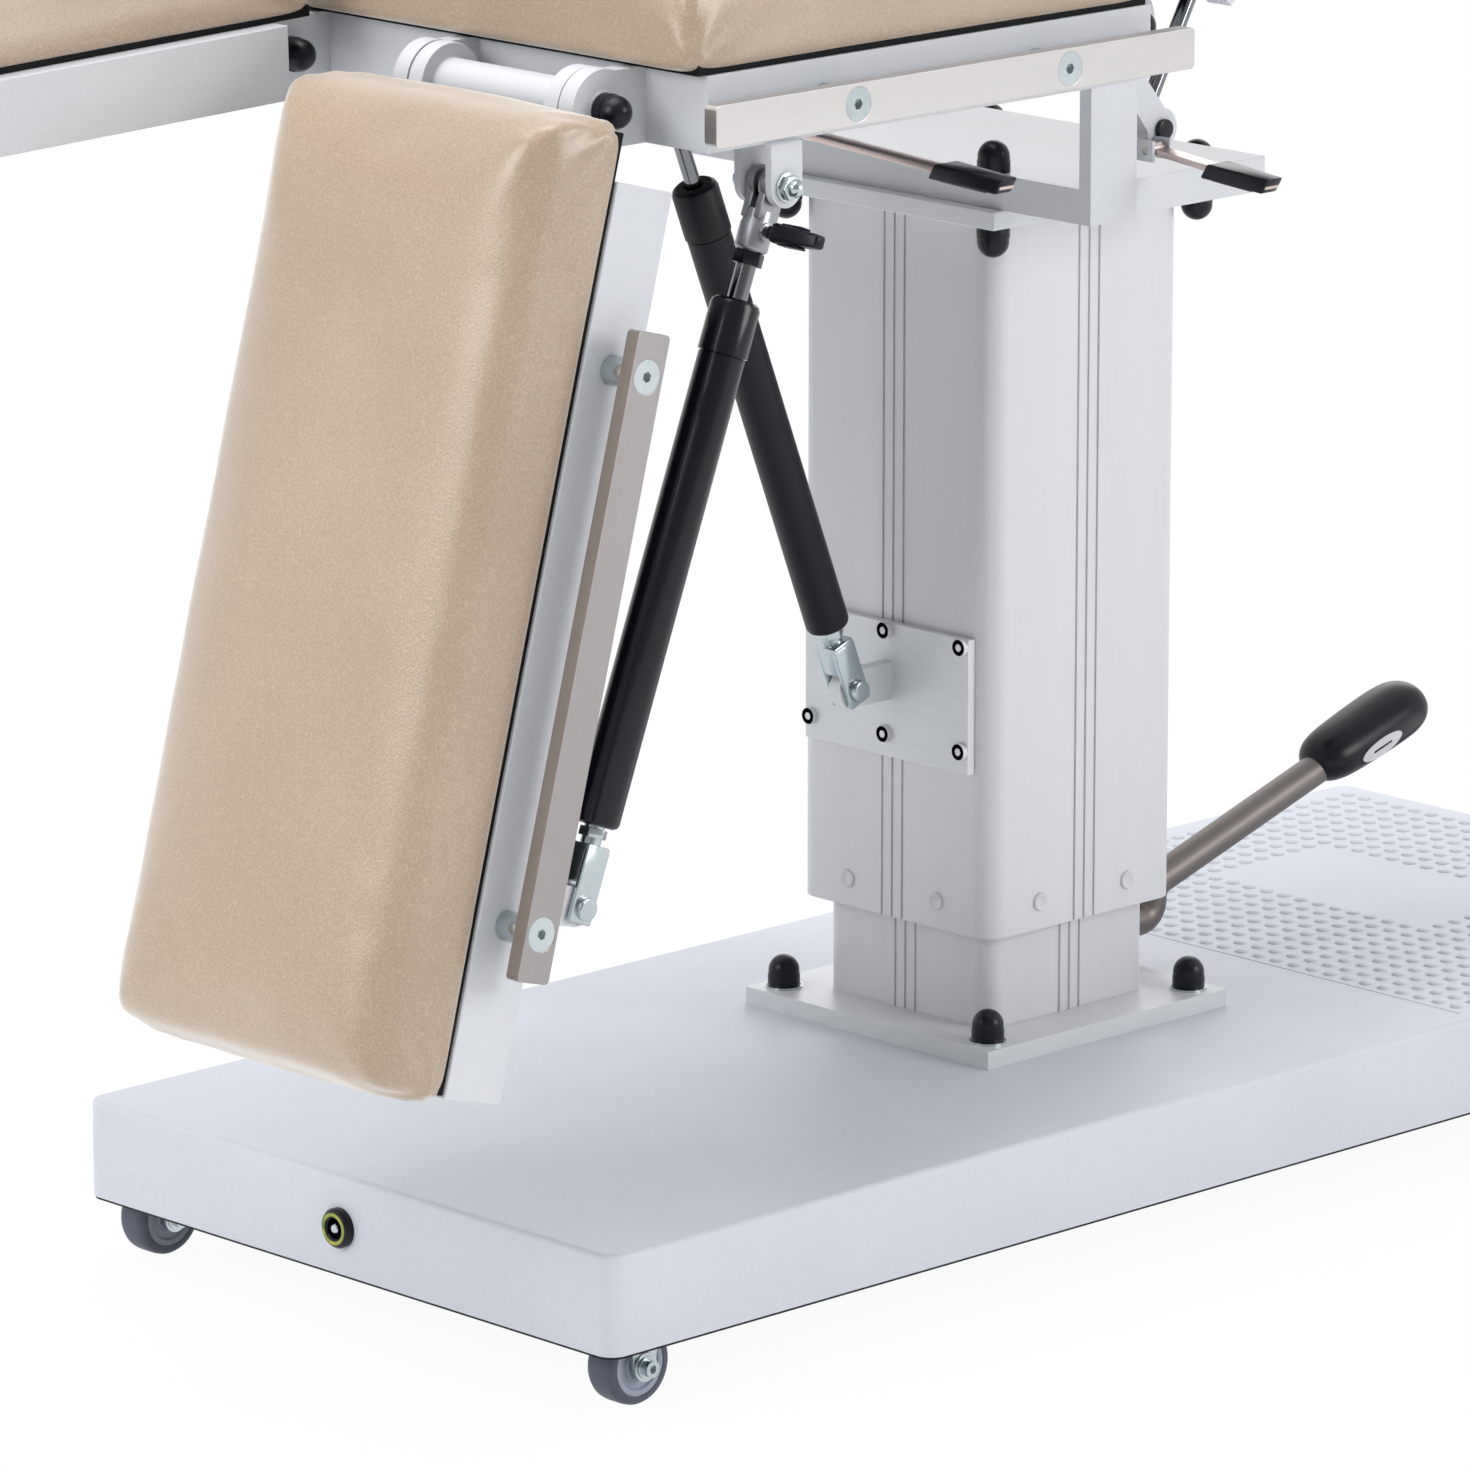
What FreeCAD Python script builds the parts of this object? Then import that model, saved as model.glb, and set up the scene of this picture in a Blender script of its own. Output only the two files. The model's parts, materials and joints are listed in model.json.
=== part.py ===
import FreeCAD, Part
import math
import os

# Operating table: base on castors, telescopic column, tilting seat frame, two leg sections,
# back section and head section.
# Frame: origin on the floor under the column axis, +X towards the head end, +Z up, millimetres.
# The left side of a patient lying on the table is at -Y.

os.makedirs("parts", exist_ok=True)
V = FreeCAD.Vector

# Clearances
RUN = 0.05            # radial, a shaft in its hole
SLIDE = 0.3           # between faces that pass each other
SIDE_PLAY = 1.0       # between two lugs on one pin

# Base cover and frame
COVER_LEG_END = -559.0
COVER_LENGTH = 1164.0
COVER_WIDTH = 480.0
COVER_BOTTOM = 40.0
COVER_TOP = 103.0
COVER_WALL = 3.0
COVER_CORNER = 12.0
COVER_EDGE = 4.0
FRAME_PLATE_THICK = 8.0
FRAME_PLATE_X = 280.0
FRAME_TUBE = 40.0
FRAME_TUBE_HEIGHT = 30.0
FRAME_TUBE_WALL = 3.0
FRAME_TUBE_Y = 170.0
FRAME_INSET = 22.0

# Castors
WHEEL_RADIUS = 25.0
WHEEL_WIDTH = 22.0
TYRE_DEPTH = 6.0
TYRE_SHOULDER = 3.0
TYRE_FLANK = 4.0
HUB_GROOVE = 1.2
HUB_RING = (0.55, 0.75)   # inner and outer edge of the groove, as shares of the hub radius
AXLE_RADIUS = 4.0
FORK_SHEET = 2.5
FORK_GAP = 1.5
FORK_WIDTH = 24.0
FORK_TIP = 9.0
FORK_OVER_WHEEL = 3.0
AXLE_HEAD = (6.5, 5.0)
AXLE_WASHER = 8.5
AXLE_NUT = 7.5
AXLE_END = 3.0
WASHER_THICK = 1.5
NUT_THICK = 6.5
FIXED_WHEEL_X = -521.0
FIXED_WHEEL_Y = 214.0
SWIVEL_X = COVER_LEG_END + COVER_LENGTH - 70.0
SWIVEL_Y = 185.0
SWIVEL_TRAIL = 20.0
SWIVEL_STEM = 10.0

# Earthing socket on the leg-end face
SOCKET_RADIUS = 12.5
SOCKET_HEIGHT = 6.5
SOCKET_WELL = 8.0
SOCKET_WALL = 1.5
SOCKET_BEVEL = 2.0
SOCKET_PIN = 3.0
SOCKET_PIN_REACH = 5.5
SOCKET_Z = 70.0

# Column
FOOT_PLATE = 220.0
FOOT_PLATE_THICK = 12.0
FOOT_STUD_PITCH = 92.5
STUD_RADIUS = 6.0
STUD_HOLE = 6.5
CAP_RADIUS = 10.5
CAP_HEIGHT = 20.0
WASHER_RADIUS = 12.0
STUD_HEAD = 7.0
INNER_PROFILE = 148.0
INNER_CORNER = 14.0
OUTER_PROFILE = 173.0
OUTER_CORNER = 16.0
PROFILE_WALL = 5.0
OUTER_BOTTOM = 178.0
OUTER_TOP = 640.0
GROOVE_WIDTH = 2.0
GROOVE_DEPTH = 1.3
GROOVE_PITCH = 9.0
INNER_TOP = OUTER_TOP - 40.0
GUIDE_WIDTH = 96.0
GUIDE_HEIGHT = 80.0
GUIDE_BELOW_PLUG = 12.0
PLUG_RADIUS = 6.0
PLUG_Z = 196.0
PLUG_OFFSET = 40.0
PLUG_PROUD = 0.8
LIFT_BORE = 27.0
LIFT_WALL = 6.0
LIFT_ROD = 15.0
LIFT_TOP = OUTER_TOP - 50.0
LIFT_GLAND = 20.0
LIFT_FLOOR = 10.0
PISTON_BOTTOM = 165.0
PISTON_LENGTH = 30.0

# Top plate and yoke
TOP_PLATE = 212.0
TOP_PLATE_THICK = 12.0
TOP_STUD_PITCH = 92.0
YOKE_LEG_END = -98.0
YOKE_HEAD_END = 70.0
YOKE_HALF_WIDTH = 171.0
YOKE_BEAM_THICK = 22.0
YOKE_PLATE = 10.0
YOKE_PLATE_WIDTH = 41.0
TILT_PIN = 8.0
TILT_HEAD_RADIUS = 12.0
TILT_HEAD = 5.0
TILT_KEEPER = 5.0

# Spring bracket on the leg-end face of the column
BRACKET_WIDTH = 146.0
BRACKET_BOTTOM = 285.0
BRACKET_HEIGHT = 87.5
BRACKET_THICK = 6.0
BRACKET_SCREW_Y = 67.5
BRACKET_SCREW_Z = 15.0
BRACKET_SCREW_RADIUS = 5.5
BRACKET_SCREW_HEAD = 3.5
LUG_THICK = 10.0
LUG_RADIUS = 12.0

# Table top: pivot line, bars, boards and upholstery
PIVOT_Z = OUTER_TOP + 142.0
BAR_WIDTH = 20.0
BAR_HEIGHT = 45.0
BAR_WALL = 2.0
BAR_BELOW = 23.0
CROSS_RISE = 6.0         # underside of a crossbar above that of the side bars
HALF_WIDTH = 266.0
BOARD_THICK = 7.0
BOARD_INSET = 6.0
BOARD_SIDE = 2.0
PAD_THICK = 60.0
PAD_ROUND = 18.0
SEAT_LEG_END = -504.0
SEAT_HEAD_END = -136.0
SEAT_PAD_OVERHANG = 16.0
SEAT_PAD_HEAD_END = 4.0
LEG_PIVOT_X = -538.0
BACK_PIVOT_X = -101.5
TILT_X = -77.5
ARM_THICK = 10.0
ARM_GAP = 2.0
ARM_HEIGHT = 40.0
TAIL_WIDTH = 26.0

# Hinge lugs and pins
HINGE_LUG = 24.0
HINGE_LUG_THICK = 12.0
HINGE_OUTER = 214.0
HINGE_INNER = 60.0
HINGE_TUBE = 15.0
HINGE_PIN = 8.0
HINGE_CAP = 19.5
HINGE_WASHER = 1.0

# Side rails
RAIL_HEIGHT = 25.0
RAIL_THICK = 10.0
RAIL_OFFSET = 20.0
RAIL_CORNER = 3.0
RAIL_SCREW_HEAD = 10.5
RAIL_SCREW = 5.0
SPACER_RADIUS = 9.0
SEAT_RAIL = (-526.0, -129.0)
SEAT_RAIL_SCREWS = (-412.0, -236.0)
SEAT_RAIL_Z = PIVOT_Z - 1.5
LEG_RAIL = (119.5, 497.5)
LEG_RAIL_SCREWS = (145.0, 469.0)
LEG_RAIL_RISE = 5.5
BACK_RAIL = (190.0, 640.0)
BACK_RAIL_SCREWS = (240.0, 590.0)

# Leg sections, measured along the leg from its pivot
LEG_ANGLE_LEFT = 75.0    # degrees below level, as photographed
LEG_ANGLE_RIGHT = 1.7
LEG_BAR_START = 39.0
LEG_BAR_END = 573.0
LEG_PAD_START = 5.0
LEG_PAD_END = 577.0
LEG_INNER_Y = 14.0
LEG_PAD_INNER_Y = 26.0

# Back and head sections
BACK_ANGLE = 45.0        # degrees above level, as photographed
BACK_BAR_START = 35.0
BACK_CROSS_START = 48.0
BACK_BAR_END = 700.0
BACK_PAD_FOOT = 24.0
BACK_PAD_BEVEL = 42.0
BACK_PAD_SHOULDER = 34.0
BACK_PAD_LEAN = 3.0
BACK_PAD_OVERHANG = 8.0
HEAD_PIVOT = 725.0
HEAD_LENGTH = 250.0
HEAD_HALF_WIDTH = 150.0
HEAD_BAR_Y = 90.0
HEAD_LUG = 14.0
HEAD_LUG_THICK = 8.0
HEAD_PIN = 5.0
HEAD_CROSS_START = 60.0
HEAD_PAD_START = 16.0

# Gas springs
SPRING_PLANE = HALF_WIDTH - BAR_WIDTH / 2
SPRING_RADIUS = 14.0
SPRING_WALL = 2.0
LEG_SPRING_TOP = (-446.0, PIVOT_Z - 49.0)
LEG_SPRING_ALONG = 454.5
LEG_SPRING_BELOW = 54.5
LEG_BARREL = (48.0, 346.0)
LEG_ROD = 6.0
LEG_ROD_LENGTH = 360.0
LEG_HEAD = 10.0
LEG_HEAD_LENGTH = 60.0
LEG_HEAD_NUT = 8.0
COLLAR_LENGTH = 26.0
COLLAR_PROUD = 1.0
COLLAR_BEVEL = 3.0
GLAND_LENGTH = 12.0
BARREL_FLOOR = 6.0
PISTON_THICK = 14.0
FORK_BLOCK = 9.0
FORK_CHEEK = 4.0
FORK_SIDE_GAP = 0.5
FORK_MOUTH = 14.0
FORK_NECK = 7.0
FORK_NECK_LENGTH = 12.0
EYE_RADIUS = 11.0
EYE_THICK = 16.0
CLEVIS_GAP = 21.0
CLEVIS_SHEET = 5.0
CLEVIS_WIDTH = 25.0
CLEVIS_NUT = 7.0
CLEVIS_WASHER = 9.0
CLEVIS_FOOT = 3.0
SPRING_PIN = 5.0
TILT_SPRING_FOOT = (-127.0, BRACKET_BOTTOM + 50.0)
TILT_SPRING_HEAD = (-290.0, PIVOT_Z - 34.0)
TILT_BARREL = (46.0, 366.0)
TILT_PISTON = 120.0
TILT_ROD = 5.0
TILT_NECK = 8.0
TILT_NECK_LENGTH = 24.0
TILT_CROSS = 30.0
TILT_CROSS_RISE = 8.0
BACK_SPRING_Y = 150.0
BACK_SPRING_FOOT = (-22.0, PIVOT_Z - 80.0)
BACK_SPRING_ALONG = 300.0
BACK_SPRING_BELOW = 30.0
STUB_HEAD_RADIUS = 6.5
STUB_HEAD = 4.0
BACK_ROD = 5.0
BACK_BARREL_RADIUS = 11.0
BACK_BARREL_START = 30.0
BACK_BARREL_LENGTH = 175.0
BACK_PISTON = 126.0
BACK_EYE = 8.0
BACK_EYE_THICK = 10.0

# Release levers and pedal
LEVER_THICK = 4.0
LEVER_WIDTH = 12.0
LEVER_EAR = 2.5
LEVER_EAR_HALF = 6.5
GRIP_THICK = 10.0
GRIP_WIDTH = 20.0
SEAT_LEVER_ROOT = (-30.0, PIVOT_Z - 49.0)
SEAT_LEVER_GRIP = (-243.0, PIVOT_Z - 62.0)
SEAT_LEVER_END = (-297.0, PIVOT_Z - 65.0)
BACK_LEVER_X = -36.0
BACK_LEVER_ROOT = (-176.0, PIVOT_Z - 90.0)
BACK_LEVER_GRIP = (-226.0, PIVOT_Z - 96.0)
BACK_LEVER_END = (-275.0, PIVOT_Z - 100.0)
LEVER_PIN = 2.5
PADDLE_LENGTH = 34.0
PADDLE_ROOT = 19.0
PADDLE_TONGUE = 6.0
PADDLE_PIN = 1.5
PADDLE_PIN_Y = 15.0
PADDLE_SLOT = 11.0
PADDLE_BOSS = 6.0
PADDLE_BOSS_END = 17.0
PADDLE_WIDTH = 15.0
PADDLE_THICK = 8.0
PADDLE_DROP = 28.0
PEDAL_PIVOT = (92.0, 134.0)
PEDAL_CORNER = (154.0, 134.0)
PEDAL_KNEE = (154.0, 156.0)
PEDAL_TUBE = 10.5
PEDAL_BOSS_WALL = 2.0
PEDAL_GRIP_START = (307.0, 206.0)
PEDAL_GRIP_END = (411.0, 238.0)
PEDAL_BEND = 12.0
PEDAL_GRIP_WIDTH = 56.0
PEDAL_GRIP_HEIGHT = 38.0
PEDAL_GRIP_CORNER = 24.0
PEDAL_GRIP_EDGE = 12.5
PEDAL_BOSS = 11.5
PEDAL_EAR = 12.0
PEDAL_EAR_THICK = 6.0
PEDAL_TUBE_IN_GRIP = 30.0

FOOT_TOP = COVER_TOP + FOOT_PLATE_THICK
TOP_PLATE_TOP = OUTER_TOP + TOP_PLATE_THICK
BEAM_TOP = TOP_PLATE_TOP + YOKE_BEAM_THICK
BAR_BOTTOM = PIVOT_Z - BAR_BELOW
BAR_TOP = BAR_BOTTOM + BAR_HEIGHT
BAR_Y = HALF_WIDTH - BAR_WIDTH
BOARD_TOP = BAR_TOP + BOARD_THICK
SECTION_LOW = -17.0       # underside of the leg and back bars from the pivot line
SECTION_HIGH = SECTION_LOW + BAR_HEIGHT
CORNERS = [(-1, -1), (1, -1), (1, 1), (-1, 1)]


def box(x0, x1, y0, y1, z0, z1):
    """Block between two corners."""
    return Part.makeBox(abs(x1 - x0), abs(y1 - y0), abs(z1 - z0), V(min(x0, x1), min(y0, y1), min(z0, z1)))


def rod(start, end, radius):
    """Round bar from one point to another."""
    run = end.sub(start)
    return Part.makeCylinder(radius, run.Length, start, run)


def turned(outline, base, direction):
    """Solid of revolution: outline holds (radius, distance along the axis) points."""
    points = [V(r, 0, h) for r, h in outline]
    face = Part.Face(Part.makePolygon(points + [points[0]]))
    solid = face.revolve(V(0, 0, 0), V(0, 0, 1), 360)
    solid.Placement = FreeCAD.Placement(base, FreeCAD.Rotation(V(0, 0, 1), direction))
    return solid


def plate_xz(points, y0, y1):
    """Flat plate standing in the XZ plane, from y0 to y1."""
    corners = [V(x, y0, z) for x, z in points]
    face = Part.Face(Part.makePolygon(corners + [corners[0]]))
    return face.extrude(V(0, y1 - y0, 0))


def round_plate(x, z, radius, y0, y1):
    """Disc with its axis along Y."""
    return rod(V(x, y0, z), V(x, y1, z), radius)


def upright_edges(shape):
    """Edges of a block that stand along Z."""
    found = []
    for edge in shape.Edges:
        a, b = edge.Vertexes[0].Point, edge.Vertexes[-1].Point
        if abs(a.x - b.x) < 1e-6 and abs(a.y - b.y) < 1e-6 and abs(a.z - b.z) > 1e-6:
            found.append(edge)
    return found


def edges_at(shape, z):
    """Edges that lie wholly at one height."""
    return [e for e in shape.Edges if all(abs(v.Z - z) < 1e-6 for v in e.Vertexes)]


def rounded_post(side, corner, z0, z1):
    """Square post about the Z axis with rounded upright edges."""
    half = side / 2
    post = box(-half, half, -half, half, z0, z1)
    return post.makeFillet(corner, upright_edges(post))


def dome_cap(x, y, z, up):
    """Domed cap nut standing on a plate; up is 1 or -1."""
    body = rod(V(x, y, z), V(x, y, z + up * (CAP_HEIGHT - CAP_RADIUS)), CAP_RADIUS)
    ball = Part.makeSphere(CAP_RADIUS, V(x, y, z + up * (CAP_HEIGHT - CAP_RADIUS)))
    half = box(x - CAP_RADIUS, x + CAP_RADIUS, y - CAP_RADIUS, y + CAP_RADIUS, z, z + up * CAP_HEIGHT)
    return body.fuse(ball.common(half)).removeSplitter()


def hollow_bar(x0, x1, y0, y1, z0, z1):
    """Rectangular tube along X with a closing plate in each end."""
    w = BAR_WALL
    tube = box(x0, x1, y0, y1, z0, z1)
    return tube.cut(box(x0 + w, x1 - w, y0 + w, y1 - w, z0 + w, z1 - w))


def swung(shape, pivot_x, degrees, pivot_z=PIVOT_Z):
    """Turn a piece about a pivot line along Y."""
    turned_shape = shape.copy()
    turned_shape.rotate(V(pivot_x, 0, pivot_z), V(0, 1, 0), degrees)
    return turned_shape


def save(name, *pieces):
    """Write the solids of one sub-part."""
    solids = []
    for piece in pieces:
        solids.extend(piece.Solids)
    Part.makeCompound(solids).exportStep(f"parts/{name}.step")


def base_parts():
    """Base cover, frame inside it and the earthing socket."""
    x0, x1 = COVER_LEG_END, COVER_LEG_END + COVER_LENGTH
    half = COVER_WIDTH / 2
    outer = box(x0, x1, -half, half, COVER_BOTTOM, COVER_TOP)
    outer = outer.makeFillet(COVER_CORNER, upright_edges(outer))
    outer = outer.makeFillet(COVER_EDGE, edges_at(outer, COVER_TOP))
    w = COVER_WALL
    inner = box(x0 + w, x1 - w, -half + w, half - w, COVER_BOTTOM - w, COVER_TOP - w)
    inner = inner.makeFillet(COVER_CORNER - w, upright_edges(inner))
    inner = inner.makeFillet(COVER_EDGE - w, edges_at(inner, COVER_TOP - w))
    cover = outer.cut(inner)
    cover = cover.cut(rod(V(x0 - w, 0, SOCKET_Z), V(x0 + 2 * w, 0, SOCKET_Z), SOCKET_WELL))

    plate_top = COVER_TOP - w
    plate_bottom = plate_top - FRAME_PLATE_THICK
    tube_bottom = plate_bottom - FRAME_TUBE_HEIGHT
    fx0, fx1 = x0 + FRAME_INSET, x1 - FRAME_INSET
    t, ty = FRAME_TUBE, FRAME_TUBE_Y
    frame = box(-FRAME_PLATE_X / 2, FRAME_PLATE_X / 2, -ty - t / 2, ty + t / 2, plate_bottom, plate_top)
    for side in (-1, 1):
        tube = box(fx0, fx1, side * ty - t / 2, side * ty + t / 2, tube_bottom, plate_bottom)
        v = FRAME_TUBE_WALL
        tube = tube.cut(box(fx0 - v, fx1 + v, side * ty - t / 2 + v, side * ty + t / 2 - v,
                            tube_bottom + v, plate_bottom - v))
        frame = frame.fuse(tube)
    inner_y = ty - t / 2
    half_out = half - COVER_CORNER
    for end, inward in ((fx0, 1), (fx1, -1)):
        cross = box(end, end + inward * t, -inner_y, inner_y, tube_bottom, plate_bottom)
        frame = frame.fuse(cross)
    for side in (-1, 1):
        ear = box(fx0, fx0 + t, side * (ty + t / 2), side * half_out, tube_bottom, plate_bottom)
        frame = frame.fuse(ear)
        sy = side * SWIVEL_Y
        boss = box(SWIVEL_X - t / 2, SWIVEL_X + t / 2, sy - t / 2, sy + t / 2, tube_bottom, plate_bottom)
        bore = rod(V(SWIVEL_X, sy, tube_bottom), V(SWIVEL_X, sy, plate_bottom), SWIVEL_STEM)
        frame = frame.fuse(boss).cut(bore)
    holes = [rod(V(sx * FOOT_STUD_PITCH, sy * FOOT_STUD_PITCH, plate_bottom - 1),
                 V(sx * FOOT_STUD_PITCH, sy * FOOT_STUD_PITCH, COVER_TOP + 1), STUD_HOLE)
             for sx, sy in CORNERS]
    for hole in holes:
        frame = frame.cut(hole)
        cover = cover.cut(hole)
    save("base_cover", cover)
    save("base_frame", frame.removeSplitter())

    bore = SOCKET_WELL - SOCKET_WALL
    outline = [(bore, -2 * w), (SOCKET_WELL - RUN, -2 * w), (SOCKET_WELL - RUN, 0), (SOCKET_RADIUS, 0),
               (SOCKET_RADIUS, SOCKET_HEIGHT - SOCKET_BEVEL), (SOCKET_RADIUS - SOCKET_BEVEL, SOCKET_HEIGHT),
               (bore, SOCKET_HEIGHT)]
    centre = V(x0, 0, SOCKET_Z)
    flange = turned(outline, centre, V(-1, 0, 0))
    floor = rod(V(x0 + w, 0, SOCKET_Z), V(x0 + 2 * w, 0, SOCKET_Z), bore)
    pin = rod(V(x0 + w, 0, SOCKET_Z), V(x0 - SOCKET_PIN_REACH, 0, SOCKET_Z), SOCKET_PIN)
    save("earthing_socket", flange.fuse(floor), pin)


def wheel(x, y):
    """Castor wheel: tyre ring and grooved hub on a bore for the axle."""
    r, half = WHEEL_RADIUS, WHEEL_WIDTH / 2
    hub_r = r - TYRE_DEPTH
    shoulder, flank = r - TYRE_SHOULDER, half - TYRE_FLANK
    section = [(hub_r, -half), (shoulder, -half), (r, -flank), (r, flank), (shoulder, half), (hub_r, half)]
    tyre = turned(section, V(x, y, r), V(0, 1, 0))
    bore = AXLE_RADIUS + RUN
    ring_in, ring_out = [hub_r * share for share in HUB_RING]
    floor = half - HUB_GROOVE
    hub = turned([(bore, -half), (ring_in, -half), (ring_in, -floor), (ring_out, -floor), (ring_out, -half),
                  (hub_r, -half), (hub_r, half), (ring_out, half), (ring_out, floor), (ring_in, floor),
                  (ring_in, half), (bore, half)],
                 V(x, y, r), V(0, 1, 0))
    return tyre, hub


def fork(x, y, top, stem_x):
    """Bent sheet fork over a wheel, with its top plate under the frame."""
    inner = WHEEL_WIDTH / 2 + FORK_GAP
    z = WHEEL_RADIUS
    reach = WHEEL_RADIUS + FORK_OVER_WHEEL
    x_low, x_high = min(x, stem_x) - FORK_WIDTH / 2, max(x, stem_x) + FORK_WIDTH / 2
    plate = box(x_low, x_high, y - inner - FORK_SHEET, y + inner + FORK_SHEET, top - FORK_SHEET, top)
    shape = plate
    for side in (-1, 1):
        y0, y1 = y + side * inner, y + side * (inner + FORK_SHEET)
        leg = plate_xz([(x - FORK_TIP, z), (x + FORK_TIP, z), (x_high, z + reach), (x_high, top - FORK_SHEET),
                        (x_low, top - FORK_SHEET), (x_low, z + reach)], y0, y1)
        leg = leg.fuse(round_plate(x, z, FORK_TIP, y0, y1))
        shape = shape.fuse(leg)
    reach_y = inner + 2 * FORK_SHEET
    return shape.cut(round_plate(x, z, AXLE_RADIUS + RUN, y - reach_y, y + reach_y)).removeSplitter()


def axle(x, y):
    """Axle bolt with a head, two washers and a nut."""
    z = WHEEL_RADIUS
    out = WHEEL_WIDTH / 2 + FORK_GAP + FORK_SHEET
    shank = round_plate(x, z, AXLE_RADIUS, y - out - WASHER_THICK - NUT_THICK - AXLE_END, y + out)
    head_radius, head_height = AXLE_HEAD
    head = round_plate(x, z, head_radius, y + out, y + out + head_height)
    washer = round_plate(x, z, AXLE_WASHER, y - out, y - out - WASHER_THICK)
    corners = [math.radians(60 * i) for i in range(6)]
    points = [(x + AXLE_NUT * math.cos(a), z + AXLE_NUT * math.sin(a)) for a in corners]
    nut = plate_xz(points, y - out - WASHER_THICK, y - out - WASHER_THICK - NUT_THICK)
    return shank.fuse(head).fuse(washer).fuse(nut).removeSplitter()


def castor_parts():
    """Two fixed castors at the leg end and two swivel castors at the head end."""
    frame_bottom = COVER_TOP - COVER_WALL - FRAME_PLATE_THICK - FRAME_TUBE_HEIGHT
    forks = []
    for side in (-1, 1):
        y = side * FIXED_WHEEL_Y
        forks += [fork(FIXED_WHEEL_X, y, frame_bottom, FIXED_WHEEL_X), axle(FIXED_WHEEL_X, y)]
    save("fixed_castor_forks", *forks)
    for name, side in (("left", -1), ("right", 1)):
        tyre, hub = wheel(FIXED_WHEEL_X, side * FIXED_WHEEL_Y)
        save(f"fixed_wheel_{name}", tyre, hub)
        y = side * SWIVEL_Y
        wheel_x = SWIVEL_X - SWIVEL_TRAIL
        tyre, hub = wheel(wheel_x, y)
        save(f"swivel_wheel_{name}", tyre, hub)
        top = frame_bottom - SLIDE
        stem = rod(V(SWIVEL_X, y, top), V(SWIVEL_X, y, top + FRAME_TUBE_HEIGHT), SWIVEL_STEM - RUN)
        body = fork(wheel_x, y, top, SWIVEL_X).fuse(stem)
        save(f"swivel_fork_{name}", body.removeSplitter(), axle(wheel_x, y))


def column_profile(side, corner, z0, z1):
    """Hollow extruded profile with three grooves down the middle of each face."""
    shell = rounded_post(side, corner, z0, z1)
    shell = shell.cut(rounded_post(side - 2 * PROFILE_WALL, corner - PROFILE_WALL, z0 - 1, z1 + 1))
    half = side / 2
    for index in (-1, 0, 1):
        off = index * GROOVE_PITCH
        y0, y1 = off - GROOVE_WIDTH / 2, off + GROOVE_WIDTH / 2
        groove = box(half - GROOVE_DEPTH, half + 1, y0, y1, z0 - 1, z1 + 1)
        for turn in range(4):
            cutter = groove.copy()
            cutter.rotate(V(0, 0, 0), V(0, 0, 1), 90 * turn)
            shell = shell.cut(cutter)
    return shell


def pedal_ear(side):
    """Ear on the foot plate that carries one end of the pedal pin."""
    x, z = PEDAL_PIVOT
    y0 = side * (PEDAL_TUBE + PEDAL_BOSS_WALL + SLIDE)
    y1 = y0 + side * PEDAL_EAR_THICK
    ear = box(x - PEDAL_EAR, x + PEDAL_EAR, y0, y1, FOOT_TOP, z)
    ear = ear.fuse(round_plate(x, z, PEDAL_EAR, y0, y1))
    return ear.cut(round_plate(x, z, SPRING_PIN + RUN, y0 - side, y1 + side))


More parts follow.
